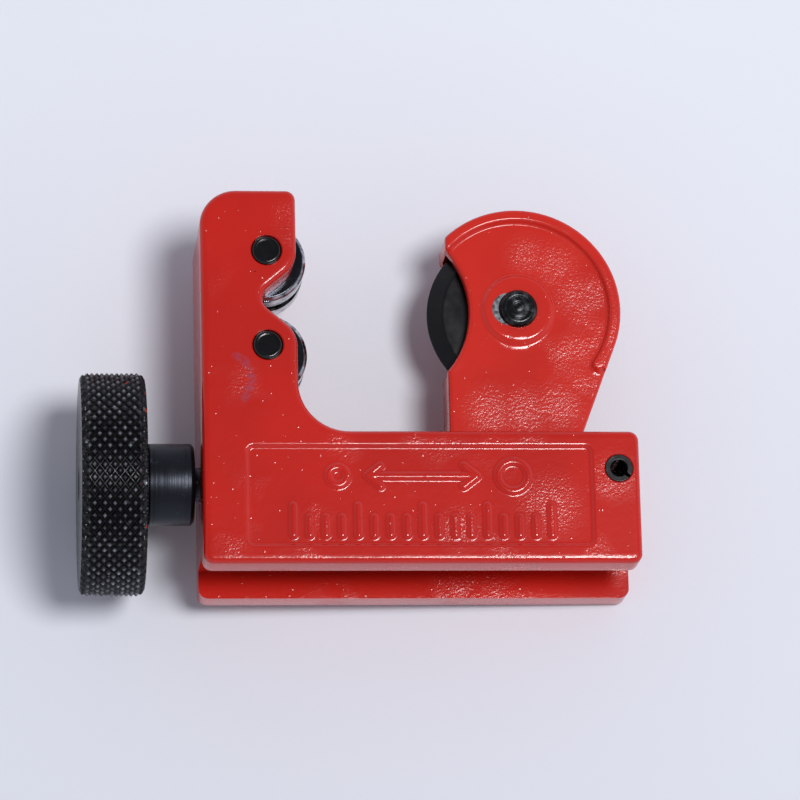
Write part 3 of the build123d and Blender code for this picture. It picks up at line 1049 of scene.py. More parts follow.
# ------------------------------------------------------------------------------ body casting
@dataclass
class BodyCasting:
    """The L-shaped body: two plates joined by the end wall, the arm's web and its cap.

    All sizes are millimetres.  The signs' places are shares of the panel's width and height.
    """

    base_top: float = 5.5
    rear_drop: float = 1.8
    plate_thickness: float = 5.1
    end_wall: float = 5.0
    end_wall_bottom: float = -11.5
    end_wall_top: float = 8.0
    arm_web: float = 3.0
    arm_cap: float = 2.55
    pin_land: float = 4.25
    heel_radius: float = 5.2
    corner_radius: float = 1.4
    throat_radius: float = 7.2
    notch_arc: float = 50.0
    notch_radius: float = 2.0
    edge: float = 0.8
    land: float = 0.45
    wall_corner: float = 0.7
    pin_hole: float = 2.2
    pin_hole_flare: float = 0.16
    stop_hole: float = 2.0
    stop_pin_inset: float = 3.0
    screw_bore: float = 2.45
    panel_left: float = 6.3
    panel_right: float = 6.9
    panel_top: float = 2.3
    panel_bottom: float = 2.6
    panel_depth: float = 0.4
    panel_corner: float = 0.9
    panel_wall: float = 0.55
    panel_margin: float = 0.8
    panel_step: float = 0.16
    relief: float = 0.33
    stroke: float = 0.95
    stroke_wall: float = 0.55
    sign_row: float = 0.70
    tick_row: float = 0.25
    small_ring: tuple[float, float] = (0.26, 1.3)
    large_ring: tuple[float, float] = (0.77, 2.15)
    arrow: tuple[float, float] = (0.345, 0.665)
    arrow_head: tuple[float, float] = (1.9, 1.5)
    tick_span: tuple[float, float] = (0.13, 0.88)
    ticks: int = 17
    ticks_to_long: int = 4
    tick_drop: float = 2.1
    tick_reach: tuple[float, float] = (2.1, 1.25)

    def outline(self, tool: ToolFrame, bottom: float) -> Outline:
        """Side view of one plate.

        Args:
            tool: the tool's frame.
            bottom: the plate's lower edge.

        Returns:
            The outline: the arm with its notch, the throat's inner corner and the base.
        """
        _, high = tool.span("body_casting")
        upper, lower = (tool.joint_centre(f"{place}_roller_spin") for place in ("upper", "lower"))
        pin_x, right, top = upper[0], high[0], high[1]
        arm = pin_x + self.pin_land
        lift = self.pin_land * math.tan(math.radians(self.notch_arc / 2))
        angle = math.radians(self.notch_arc)
        middle = (upper[1] + lower[1]) / 2
        run = ((upper[1] - lower[1]) / 2 - self.pin_land * math.sin(angle)) / math.cos(angle)
        tip = pin_x + self.pin_land * math.cos(angle) - run * math.sin(angle)
        corner = self.corner_radius
        return Outline.from_corners([
            (0, bottom, corner), (right, bottom, corner), (right, self.base_top, corner),
            (arm, self.base_top, self.throat_radius), (arm, lower[1] + lift, self.pin_land),
            (tip, middle, self.notch_radius), (arm, upper[1] - lift, self.pin_land),
            (arm, top, corner), (0, top, self.heel_radius),
        ])

    def relief_height(self, x: np.ndarray, y: np.ndarray, low: np.ndarray, high: np.ndarray) -> np.ndarray:
        """Height of the sunk panel and of the raised signs in it, over the face.

        The panel is a soft step down inside a rounded rectangle.  The signs are soft steps up
        round strokes: a small ring, an arrow with two heads and a large ring for the range of
        tubes, over a comb of ticks for a scale.

        Args:
            x: places along the screw.
            y: places up the arm.
            low: the panel's lower left corner.
            high: its upper right corner.

        Returns:
            The height at each place.
        """
        width, tall = high - low
        upper_row, lower_row = low[1] + self.sign_row * tall, low[1] + self.tick_row * tall
        tail, head = (low[0] + share * width for share in self.arrow)
        strokes = [
            np.abs(np.hypot(x - (low[0] + share * width), y - upper_row) - radius)
            for share, radius in (self.small_ring, self.large_ring)
        ]
        strokes.append(stroke_distance(x, y, (tail, upper_row), (head, upper_row)))
        back, rise = self.arrow_head
        for end, side in ((tail, back), (head, -back)):
            for lift in (rise, -rise):
                strokes.append(stroke_distance(x, y, (end, upper_row), (end + side, upper_row + lift)))
        start, stop = (low[0] + share * width for share in self.tick_span)
        gap = (stop - start) / (self.ticks - 1)
        nearest = np.clip(np.round((x - start) / gap), 0, self.ticks - 1)
        reach = np.where(nearest % self.ticks_to_long == 0, *self.tick_reach)
        beside = np.abs(x - start - nearest * gap)
        beyond = np.maximum(np.abs(y - (lower_row - self.tick_drop + reach)) - reach, 0)
        strokes.append(np.hypot(beside, beyond))
        signs = soft_step(np.minimum.reduce(strokes) - self.stroke / 2, self.stroke_wall)
        panel = soft_step(box_distance(x, y, low, high, self.panel_corner), self.panel_wall)
        return self.relief * signs * panel - self.panel_depth * panel

    def shell(self, tool: ToolFrame) -> Shell:
        """The body before it is hollowed: one loft from the rear face to the front face.

        Args:
            tool: the tool's frame.

        Returns:
            The surface, with the sunk panel and its signs in the front face.
        """
        low, high = tool.span("body_casting")
        rear, front = (self.outline(tool, bottom) for bottom in (low[1], low[1] + self.rear_drop))
        rear_rings = edge_rings(self.edge, low[2], -1, self.land)[::-1] + [(0.0, -0.1)]
        front_rings = [(0.0, 0.1)] + edge_rings(self.edge, high[2], 1, self.land)
        side = np.concatenate([lofted(rear, rear_rings), lofted(front, front_rings)])
        bottom = low[1] + self.rear_drop
        panel_low = np.array([self.panel_left, bottom + self.panel_bottom])
        panel_high = np.array([high[0] - self.panel_right, self.base_top - self.panel_top])
        counts = ((panel_high - panel_low + 2 * self.panel_margin) / self.panel_step).astype(int)
        xs, ys = (
            np.linspace(panel_low[i] - self.panel_margin, panel_high[i] + self.panel_margin, counts[i])
            for i in (0, 1)
        )
        x, y = np.meshgrid(xs, ys, indexing="ij")
        height = self.relief_height(x, y, panel_low, panel_high)
        height[[0, -1]] = 0
        height[:, [0, -1]] = 0
        panel = np.stack([x, y, high[2] + height], axis=-1)
        frame_loop = np.concatenate([panel[:-1, 0], panel[-1, :-1], panel[:0:-1, -1], panel[0, :0:-1]])
        return (
            Shell.grid(side, wrap_columns=True) + Shell.cap([side[0]])
            + Shell.cap([side[-1], frame_loop]) + Shell.grid(panel)
        )

    def cutters(self, tool: ToolFrame) -> list[Shell]:
        """The channel between the plates, the screw's bore, and the cross holes.

        Args:
            tool: the tool's frame.

        Returns:
            The shells that are taken away.
        """
        low, high = tool.span("body_casting")
        half = high[2] - self.plate_thickness
        beyond = 6.0  # how far the channel's cutter stands out of the body
        channel = Outline.from_corners([
            (-beyond, low[1] - beyond, 1), (high[0] + beyond, low[1] - beyond, 1),
            (high[0] + beyond, high[1] - self.arm_cap, 0.3),
            (self.arm_web, high[1] - self.arm_cap, self.wall_corner),
            (self.arm_web, self.end_wall_top, self.wall_corner / 2), (self.end_wall, self.end_wall_top, 0.4),
            (self.end_wall, self.end_wall_bottom, self.wall_corner), (-beyond, self.end_wall_bottom, 1),
        ])
        rings = lofted(channel, [(0, -half), (0, half)])
        hollow = Shell.grid(rings, wrap_columns=True) + Shell.cap([rings[0]]) + Shell.cap([rings[1]])
        bore = turned(
            [(0, -1), (self.screw_bore, -1), (self.screw_bore, self.end_wall + 1), (0, self.end_wall + 1)],
            Axis.SCREW, steps=64,
        )
        places = [
            (tool.joint_centre(f"{place}_roller_spin")[:2], self.pin_hole) for place in ("upper", "lower")
        ]
        places.append((np.array([high[0] - self.stop_pin_inset, 0.0]), self.stop_hole))
        holes = []
        for centre, radius in places:
            flare = radius + self.pin_hole_flare
            deep = self.pin_hole_flare
            profile = [
                (0, low[2] - 1), (flare, low[2] - 1), (flare, low[2]), (radius, low[2] + deep),
                (radius, high[2] - deep), (flare, high[2]), (flare, high[2] + 1), (0, high[2] + 1),
            ]
            holes.append(turned(profile, Axis.PIN, centre, steps=56))
        return [hollow, bore, holes[0] + holes[1] + holes[2]]

    def build(self, maker: Maker) -> None:
        """Makes the enamelled body.

        Args:
            maker: makes the piece.
        """
        finish = CastEnamel(
            "red_enamel_body", stipple_share=0.1, gloss=(0.15, 0.2),
            grainy=((49.0, -5.0, 5.0), (58.5, -1.0, 4.0), (36.0, -8.5, 3.5), (43.0, -22.0, 9.0)),
            scuff=((4.9, 16.2), (6.1, 15.7), (7.3, 12.8), (6.0, 10.1)),
        )
        mesh = carved("body_shell", self.shell(maker.tool), self.cutters(maker.tool))
        maker.piece("body_shell", mesh, finish, "body", "body_casting")


# ------------------------------------------------------------------------------ rollers and pins
@dataclass
class GuideRoller:
    """One grooved roller with the fixed pin it turns on.

    Args:
        place: "upper" or "lower".
    """

    place: str
    groove_width: float = 2.6
    wall: float = 1.95
    running: float = 0.05
    chamfer: float = 0.5
    bore_chamfer: float = 0.3
    pin_chamfer: float = 0.4
    pin_dish: float = 0.06

    def build(self, maker: Maker) -> None:
        """Makes the roller and its pin.

        Args:
            maker: makes the pieces.
        """
        centre = maker.tool.joint_centre(f"{self.place}_roller_spin")
        low, high = maker.tool.span(f"{self.place}_roller")
        pin_low, pin_high = maker.tool.span(f"{self.place}_roller_pin")
        radius, pin = (high[1] - low[1]) / 2, (pin_high[1] - pin_low[1]) / 2
        bore, half, groove = pin + self.running, (high[2] - low[2]) / 2, self.groove_width / 2
        floor = bore + self.wall
        upper_half = [
            (radius, groove, 0), (radius, half - self.chamfer, 0.08), (radius - self.chamfer, half, 0.08),
            (bore + self.bore_chamfer, half, 0.05), (bore, half - self.bore_chamfer, 0.05),
        ]
        mirrored = [(r, -h, s) for r, h, s in upper_half[::-1]]
        profile = rounded_profile([
            (floor, 0, 0), (floor, groove, 0), *upper_half, *mirrored, (floor, -groove, 0),
        ])
        middle = (low[2] + high[2]) / 2
        profile[:, 1] += middle
        # painted reflection: the dark colour shades the end face and the pale crest band lights the chamfer
        # and rim, standing in for what the polished steel reflects
        steel = TurnedMetal(
            f"polished_steel_{self.place}", centre=(centre[0], centre[1]), colour="#3A3C42", worn_and_highlight="#C6C8CD",
            roughness=(0.1, 0.18), groove_mm=0.18, groove_height_mm=0.003, wear=0.1,
            crest=(radius - 1.1 * self.chamfer, radius - 0.7 * self.chamfer),
        )
        maker.piece(
            f"{self.place}_guide_roller", turned(profile, Axis.PIN, centre, ring=True), steel,
            f"{self.place}_roller", f"{self.place}_roller",
        )
        cut = self.pin_chamfer
        end = rounded_profile([
            (0, pin_low[2], 0), (pin - cut, pin_low[2], 0.12), (pin, pin_low[2] + cut, 0.12), (pin, 0, 0),
            (pin, pin_high[2] - cut, 0.14), (pin - cut, pin_high[2], 0.14),
            (pin - 2 * cut, pin_high[2] - self.pin_dish, 0.1), (0, pin_high[2] - self.pin_dish, 0),
        ])
        black = TurnedMetal(
            f"gloss_black_pin_{self.place}", centre=(centre[0], centre[1]), colour="#060608", worn_and_highlight="#101013",
            metallic=0.0, roughness=(0.1, 0.17), groove_mm=0.3, groove_height_mm=0.003, wear=0.2,
        )
        maker.piece(
            f"{self.place}_pin", turned(end, Axis.PIN, centre, steps=64), black,
            "body", f"{self.place}_roller_pin",
        )


# ------------------------------------------------------------------------------ screw and knob
@dataclass
class FeedScrew:
    """The knurled knob, its sleeve, the threaded screw and the thrust washer.

    All sizes are millimetres.
    """

    journal: float = 2.4
    pitch: float = 1.0
    thread_depth: float = 0.6
    thread_flat: float = 0.15
    screw_chamfer: float = 0.8
    turn_steps: int = 40
    thread_steps: int = 10
    knob_edge: float = 1.1
    diamonds: int = 54
    diamond_rows: float = 5.0
    knurl_depth: float = 0.7
    knurl_tip: float = 0.92
    samples: int = 12
    hole_depth: float = 1.2
    hole_bevel: float = 0.35
    face_ring: float = 0.55
    knurl_fade: float = 0.62
    sleeve_chamfer: float = 0.5
    neck_width: float = 0.6
    neck_depth: float = 0.5

    def knob(self, tool: ToolFrame) -> Shell:
        """The knob: a turned drum with a diamond knurl.

        Two families of grooves cross at the angle and the place along the width, each a
        triangle wave.  The height is the lower of the two waves, which gives pyramids, cut flat
        a little under their tips, and it fades out over the rounded rims.

        Args:
            tool: the tool's frame.

        Returns:
            The knob's surface.
        """
        low, high = tool.span("knurled_knob")
        radius, left, right, edge = (high[2] - low[2]) / 2, low[0], high[0], self.knob_edge
        count = self.diamonds * self.samples
        angle = np.arange(count) * (FULL_TURN / count)
        rim = np.linspace(0, math.pi / 2, 7)
        rows = int(self.diamond_rows * self.samples)
        drum = np.linspace(left + edge, right - edge, rows + 1)
        ring, land = radius * self.face_ring, radius - edge - 0.6
        faces_left = np.array([
            (self.journal, left + self.hole_depth), (self.journal, left + self.hole_bevel),
            (self.journal + self.hole_bevel, left), (ring, left), (land, left),
        ])
        rim_left = np.stack([radius - edge + edge * np.sin(rim), left + edge - edge * np.cos(rim)], axis=1)
        middle = np.stack([np.full(rows - 1, radius), drum[1:-1]], axis=1)
        rim_right = np.stack([radius - edge + edge * np.cos(rim), right - edge + edge * np.sin(rim)], axis=1)
        faces_right = np.array([(land, right), (ring, right), (self.journal, right)])
        profile = np.concatenate([faces_left, rim_left, middle, rim_right, faces_right])
        band = self.knurl_fade * edge
        fade = np.clip((profile[:, 0] - (radius - band)) / band, 0, 1)
        fade = (fade * (2 - fade)) ** 0.5
        along = (profile[:, 1] - left - edge) / (right - left - 2 * edge) * self.diamond_rows
        around = angle[:, None] / FULL_TURN * self.diamonds
        waves = [1 - np.abs(2 * ((around + sign * along[None]) % 1) - 1) for sign in (1, -1)]
        pyramid = np.minimum(np.minimum(*waves), self.knurl_tip) / self.knurl_tip
        drop = self.knurl_depth * (1 - pyramid) * fade[None]
        height = np.broadcast_to(profile[:, 1], pyramid.shape)
        return turned_grid(profile[None, :, 0] - drop, height, angle, Axis.SCREW, (0, 0), True)

    def screw(self, tool: ToolFrame) -> Shell:
        """The screw: a smooth journal, then a helical thread.

        The thread's radius is the outer radius less the depth times a triangle wave of the
        place along the screw over the pitch less the angle over a full turn, cut flat at the
        crest, and faded to the core at both ends.

        Args:
            tool: the tool's frame.

        Returns:
            The screw's surface.
        """
        low, high = tool.span("feed_screw")
        washer = tool.span("thrust_washer")[1][0]
        start, end, outer = washer + 0.15, high[0], (high[2] - low[2]) / 2
        cut = self.screw_chamfer
        count = int((end - start - cut) / self.pitch * self.thread_steps)
        x = np.linspace(start + 0.35, end - cut, count)
        angle = np.arange(self.turn_steps) * (FULL_TURN / self.turn_steps)
        wave = np.abs(2 * ((x[None] / self.pitch - angle[:, None] / FULL_TURN) % 1) - 1)
        groove = np.clip((wave - self.thread_flat) / (1 - self.thread_flat), 0, 1)
        fade = np.clip((x - start - 0.35) / 1.2, 0, 1)[None]
        threaded = outer - self.thread_depth * groove * fade
        ends = np.array([(0.0, low[0]), (self.journal - 0.5, low[0]), (self.journal, low[0] + 0.5)])
        neck = np.array([(self.journal, start), (outer - 0.3, start), (outer, start + 0.3)])
        tip = np.array([(outer - cut, end), (0.0, end)])
        shank, point = (
            np.broadcast_to(part, (self.turn_steps, *part.shape))
            for part in (np.concatenate([ends, neck]), tip)
        )
        radius = np.concatenate([shank[..., 0], threaded, point[..., 0]], axis=1)
        height = np.concatenate([shank[..., 1], np.broadcast_to(x, threaded.shape), point[..., 1]], axis=1)
        return turned_grid(radius, height, angle, Axis.SCREW, (0, 0), False)

    def build(self, maker: Maker) -> None:
        """Makes the four pieces that turn with the knob.

        Args:
            maker: makes the pieces.
        """
        tool = maker.tool
        low, high = tool.span("knurled_knob")
        crest = (high[2] - low[2]) / 2
        knurl = TurnedMetal(
            "black_oxide_knurl", Axis.SCREW, colour="#17171A", worn_and_highlight="#A2A4AC", metallic=0.55,
            roughness=(0.2, 0.36), groove_mm=0.4, groove_height_mm=0.03, wear=0.15, specks=True,
            crest=(crest - 0.5 * self.knurl_depth, crest),
        )
        maker.piece("knob_grip", self.knob(tool), knurl, "screw", "knurled_knob", crease=44)
        low, high = tool.span("spacer_sleeve")
        radius = (high[2] - low[2]) / 2
        neck = radius - self.neck_depth
        profile = rounded_profile([
            (self.journal, low[0], 0), (neck, low[0], 0.05), (neck, low[0] + self.neck_width, 0.12),
            (radius, low[0] + self.neck_width, 0.14), (radius, high[0] - self.sleeve_chamfer, 0.12),
            (radius - self.sleeve_chamfer, high[0], 0.12), (self.journal, high[0], 0),
        ])
        black = TurnedMetal(
            "turned_black_oxide", Axis.SCREW, colour="#272A31", worn_and_highlight="#565C6B", metallic=0.8,
            roughness=(0.3, 0.38), groove_mm=0.3, groove_height_mm=0.035, wear=0.12,
        )
        sleeve = turned(profile, Axis.SCREW, steps=128, ring=True)
        maker.piece("knob_sleeve", sleeve, black, "screw", "spacer_sleeve")
        oiled = TurnedMetal(
            "oiled_black_thread", Axis.SCREW, colour="#37383B", worn_and_highlight="#6A6B6F", roughness=(0.22, 0.4),
            groove_mm=0.5, groove_height_mm=0.004, wear=0.4,
        )
        maker.piece(
            "threaded_screw", self.screw(tool), oiled, "screw", "feed_screw", crease=50
        )
        low, high = tool.span("thrust_washer")
        ring = washer_profile(self.journal + 0.05, (high[2] - low[2]) / 2, low[0], high[0], 0.15)
        zinc = TurnedMetal(
            "zinc_plate_washer", Axis.SCREW, colour="#A9ABA8", worn_and_highlight="#C6C7C2", roughness=(0.3, 0.45),
            wear=0.5,
        )
        washer = turned(ring, Axis.SCREW, ring=True)
        maker.piece("shoulder_washer", washer, zinc, "screw", "thrust_washer")


# ------------------------------------------------------------------------------ carriage
@dataclass
class Carriage:
    """The sliding carriage: a round rimmed head over a square foot, and the wheel's axle.

    All sizes are millimetres, and angles are degrees.
    """

    head_wall: float = 1.6
    foot_top: float = 4.0
    foot_right: float = 7.9
    foot_corner: float = 1.0
    tip_radius: float = 0.6
    back_radius: float = 3.0
    mouth_radius: float = 14.0
    mouth_depth: float = 3.3
    rim_width: float = 1.7
    rim_end_angle: float = -36.0
    rim_wall: float = 0.7
    recess: float = 0.8
    boss_radius: float = 5.05
    boss_wall: float = 0.9
    boss_height: float = 0.55
    foot_ramp: float = 1.6
    edge: float = 0.55
    wheel_slot: float = 4.6
    screw_bore: float = 3.05
    axle_seat_radius: float = 2.8
    axle_dome: float = 0.5
    axle_groove: tuple[tuple[float, float], ...] = ((0.95, 0.02), (1.1, 0.16), (1.25, 0.02))
    axle_mark: tuple[float, float, float] = (0.9, 0.75, 0.55)
    axle_mark_depth: float = 0.12
    groove_radius: float = 1.7
    ring_mouth: float = 2.6

    def places(self, tool: ToolFrame) -> tuple[np.ndarray, np.ndarray, np.ndarray, float]:
        """Measures where the carriage stands.

        Args:
            tool: the tool's frame.

        Returns:
            The axle's centre, the casting's lowest and highest corner, and the head's radius.
        """
        centre = tool.joint_centre("cutter_wheel_spin")[:2]
        low, high = tool.span("carriage_casting")
        return centre, low, high, high[1] - centre[1]

    def outline(self, tool: ToolFrame) -> Outline:
        """Side view of the carriage.

        Each tip and inner corner is an arc that touches both of its neighbours: its centre
        lies at its radius from both.

        Args:
            tool: the tool's frame.

        Returns:
            The outline: foot, sloping back, round head, and hollow mouth.
        """
        centre, low, high, head = self.places(tool)
        left, bottom = low[0], low[1]
        right = centre[0] + (high[0] - centre[0]) * self.foot_right / head
        across, down = right - centre[0], centre[1] - self.foot_top
        leave = math.atan2(-down, across) + math.acos(head / math.hypot(across, down))
        normal = (math.cos(leave), math.sin(leave))
        tip, back, corner = self.tip_radius, self.back_radius, self.foot_corner
        back_x = right + back
        back_y = centre[1] + (head + back - normal[0] * (back_x - centre[0])) / normal[1]
        top_tip = (left + tip, centre[1] + math.sqrt((head - tip) ** 2 - (left + tip - centre[0]) ** 2))
        mouth = (left + self.mouth_depth - self.mouth_radius, centre[1])
        rise = math.sqrt((self.mouth_radius + tip) ** 2 - (left + tip - mouth[0]) ** 2)
        meet = math.degrees(math.atan2(rise, left + tip - mouth[0]))
        top_angle = math.degrees(math.atan2(top_tip[1] - centre[1], top_tip[0] - centre[0]))
        leave_degrees = math.degrees(leave)
        return Outline.from_arcs([
            Arc((right - corner, bottom + corner), corner, -90, 0),
            Arc((back_x, back_y), back, 180, 180 + leave_degrees),
            Arc((centre[0], centre[1]), head, leave_degrees, top_angle),
            Arc(top_tip, tip, top_angle, 180),
            Arc((left + tip, centre[1] + rise), tip, 180, 180 + meet),
            Arc(mouth, self.mouth_radius, meet, -meet),
            Arc((left + tip, centre[1] - rise), tip, 180 - meet, 180),
            Arc((left + corner, bottom + corner), corner, 180, 270),
        ]).divided(0.3)

    def face_height(self, x: np.ndarray, y: np.ndarray, tool: ToolFrame) -> np.ndarray:
        """Height of one side over the middle plane.

        The sunk level rises by soft steps to the rim, an arc band that ends in a half round,
        to the low boss round the axle, and to the foot.

        Args:
            x: places along the screw.
            y: places up the arm.
            tool: the tool's frame.

        Returns:
            The height at each place.
        """
        centre, _, high, head = self.places(tool)
        radius = np.hypot(x - centre[0], y - centre[1])
        angle = np.degrees(np.arctan2(y - centre[1], x - centre[0]))
        half = self.rim_width / 2
        middle = head - half
        end = math.radians(self.rim_end_angle)
        end_x, end_y = centre[0] + middle * math.cos(end), centre[1] + middle * math.sin(end)
        on_band = (angle > self.rim_end_angle) & (angle < 170)
        past_end = np.hypot(x - end_x, y - end_y) - half
        band = np.where(on_band, np.where(radius > middle, -half, middle - radius - half), past_end)
        rim = soft_step(band, self.rim_wall)
        boss = soft_step(radius - self.boss_radius, self.boss_wall) * (self.boss_height / self.recess)
        foot = soft_step(y - self.foot_top, self.foot_ramp)
        sunk = high[2] - self.recess
        return sunk + self.recess * np.maximum(np.maximum(rim, boss), foot)

    def casting(self, tool: ToolFrame) -> Shell:
        """The casting before it is slotted, as one grid that closes on itself.

        One way round follows the outline.  The other goes from the axle's hole straight out
        over the front to the outline, over its rounded edge, down the side, back over the rear,
        and through the hole.

        Args:
            tool: the tool's frame.

        Returns:
            The surface.
        """
        centre, _, _, _ = self.places(tool)
        outline = self.outline(tool)
        turn = np.linspace(0, math.pi / 2, 5)
        inset = self.edge * (1 - np.cos(turn[::-1]))
        drop = self.edge * (1 - np.sin(turn[::-1]))
        inner = outline.points - outline.normals * self.edge
        ray = inner - centre
        length = np.linalg.norm(ray, axis=1)
        hole = centre + ray / length[:, None] * self.axle_seat_radius
        share = np.linspace(0, 1, 78)[None, :-1, None] ** 0.85
        over = hole[:, None] * (1 - share) + inner[:, None] * share
        rounding = outline.points[:, None] - outline.normals[:, None] * inset[None, :, None]
        flat = np.concatenate([over, rounding], axis=1)
        height = self.face_height(flat[..., 0], flat[..., 1], tool)
        height -= np.concatenate([np.zeros(share.shape[1]), drop])[None]
        front = np.concatenate([flat, height[..., None]], axis=-1)
        rear = front[:, ::-1] * np.array([1, 1, -1])
        return Shell.grid(np.concatenate([front, rear], axis=1), wrap_rows=True, wrap_columns=True)

    def cutters(self, tool: ToolFrame) -> list[Shell]:
        """The wheel's round slot, and the feed screw's bore.

        Args:
            tool: the tool's frame.

        Returns:
            The shells that are taken away.
        """
        centre, low, high, head = self.places(tool)
        slot, half = head - self.head_wall, self.wheel_slot / 2
        disc = turned(
            rounded_profile([(0, -half, 0), (slot, -half, 0.3), (slot, half, 0.3), (0, half, 0)]),
            Axis.PIN, centre, steps=128,
        )
        bore = self.screw_bore
        start, end = low[0] - 2, high[0] + 2
        hole = turned([(0, start), (bore, start), (bore, end), (0, end)], Axis.SCREW)
        return [disc, hole]

    def build(self, maker: Maker) -> None:
        """Makes the casting, the axle and its retaining ring.

        Args:
            maker: makes the pieces.
        """
        tool = maker.tool
        centre, _, high, _ = self.places(tool)
        finish = CastEnamel(
            "red_enamel_carriage", colour="#CC281C", deep="#B81F16", stipple_height_mm=0.07,
            stipple_share=0.25, bead_height_mm=0.06, gloss=(0.15, 0.23), grainy=(
                (centre[0] + 1.5, centre[1] + 8.5, 3.6), (centre[0] + 5.5, centre[1] + 7.0, 4.2),
                (centre[0] + 8.5, centre[1] + 2.5, 4.0), (centre[0] - 4.5, centre[1] - 14.8, 4.2),
                (centre[0] + 0.5, centre[1] - 14.8, 4.2), (centre[0] + 5.5, centre[1] - 14.0, 4.0),
            ),
            bare=(centre[0] - 1.35, centre[1], 2.4),
        )
        mesh = carved("carriage_shell", self.casting(tool), self.cutters(tool))
        maker.piece(
            "carriage_shell", mesh, finish, "carriage", "carriage_casting", crease=38
        )
        self.build_axle(maker, centre, high[2])
        self.build_ring(maker, centre)

    def build_axle(self, maker: Maker, centre: np.ndarray, face: float) -> None:
        """Makes the axle: a domed head with turned rings, a shank and a grooved tail.

        Args:
            maker: makes the piece.
            centre: the axle's centre.
            face: height of the carriage's highest face.
        """
        low, high = maker.tool.span("wheel_axle")
        ring_low, ring_high = maker.tool.span("axle_retaining_ring")
        radius = (high[0] - low[0]) / 2
        shank, top, dome = radius - 0.35, high[2], self.axle_dome
        seat = face - 1.2
        (rim, wall, floor), mark = self.axle_mark, self.axle_mark_depth
        profile = rounded_profile([
            (0, low[2], 0), (shank - dome, low[2], 0.15), (shank, low[2] + dome, 0.15),
            (shank, ring_low[2] - 0.05, 0), (self.groove_radius, ring_low[2] - 0.05, 0),
            (self.groove_radius, ring_high[2] + 0.05, 0), (shank, ring_high[2] + 0.05, 0), (shank, seat, 0),
            (radius, seat, 0), (radius, top - dome, 0.2), (radius - dome, top, 0.25),
            *[
                (radius - inset, top - depth, rounding)
                for (inset, depth), rounding in zip(self.axle_groove, (0.08, 0.06, 0.06))
            ],
            (rim, top, 0.1), (wall, top - mark, 0.05), (floor, top - mark, 0.05), (0, top - 0.05, 0),
        ])
        black = TurnedMetal(
            "worn_black_axle", centre=(centre[0], centre[1]), colour="#131416", worn_and_highlight="#63666A", metallic=0.6,
            roughness=(0.16, 0.3), groove_mm=0.5, groove_height_mm=0.02, wear=0.6,
        )
        axle = turned(profile, Axis.PIN, centre, steps=80)
        maker.piece("wheel_axle_pin", axle, black, "carriage", "wheel_axle")

    def build_ring(self, maker: Maker, centre: np.ndarray) -> None:
        """Makes the open retaining ring on the axle's tail.

        Args:
            maker: makes the piece.
            centre: the axle's centre.
        """
        low, high = maker.tool.span("axle_retaining_ring")
        outer = (high[1] - low[1]) / 2
        inner, half = self.groove_radius + 0.05, self.ring_mouth / 2
        wide = math.degrees(math.asin(half / outer))
        close = math.degrees(math.asin(min(0.95, half / inner)))
        outline = Outline.from_arcs([
            Arc((centre[0], centre[1]), outer, wide, 360 - wide),
            Arc((centre[0], centre[1]), inner, 360 - close, close),
        ])
        zinc = TurnedMetal(
            "zinc_plate_ring", centre=(centre[0], centre[1]), colour="#A9ABA8", worn_and_highlight="#C6C7C2",
            roughness=(0.3, 0.45), wear=0.5,
        )
        shape = plate(outline, low[2], high[2], 0.0, land=0.0)
        maker.piece("axle_clip", shape, zinc, "carriage", "axle_retaining_ring")


# ------------------------------------------------------------------------------ cutter wheel
@dataclass
class CutterWheel:
    """The cutter wheel, ground to an edge, between two thin spacers."""

    disc: float = 2.2
    hub: float = 3.0
    hub_radius: float = 5.2
    bevel: float = 2.2
    edge: float = 0.2
    bore: float = 2.45
    spacer_radius: float = 4.4
    spacer: float = 0.6

    def build(self, maker: Maker) -> None:
        """Makes the wheel and its spacers.

        Args:
            maker: makes the pieces.
        """
        centre = maker.tool.joint_centre("cutter_wheel_spin")[:2]
        low, high = maker.tool.span("cutter_wheel")
        radius, half, hub = (high[1] - low[1]) / 2, self.disc / 2, self.hub / 2
        upper = [
            (radius, self.edge / 2, 0), (radius - self.bevel, half, 0.25), (self.hub_radius, half, 0.1),
            (self.hub_radius, hub, 0.15), (self.bore, hub, 0),
        ]
        mirrored = [(r, -h, s) for r, h, s in upper]
        profile = rounded_profile([*upper, *mirrored[::-1]])
        black = TurnedMetal(
            "black_oxide_wheel", centre=(centre[0], centre[1]), colour="#09090B", worn_and_highlight="#121215",
            metallic=0.0, roughness=(0.2, 0.28), groove_mm=0.3, groove_height_mm=0.003, wear=0.25,
        )
        wheel = turned(profile, Axis.PIN, centre, steps=192, ring=True)
        maker.piece("cutting_disc", wheel, black, "wheel", "cutter_wheel")
        zinc = TurnedMetal("zinc_plate_spacers", centre=(centre[0], centre[1]), colour="#A9ABA8", wear=0.5)
        rings = []
        for side in (1, -1):
            near, far = side * hub, side * (hub + self.spacer)
            ring = washer_profile(self.bore, self.spacer_radius, near, far, 0.12)
            rings.append(turned(ring, Axis.PIN, centre, steps=72, ring=True))
        maker.piece("disc_spacers", rings[0] + rings[1], zinc, "wheel", "wheel_spacers")


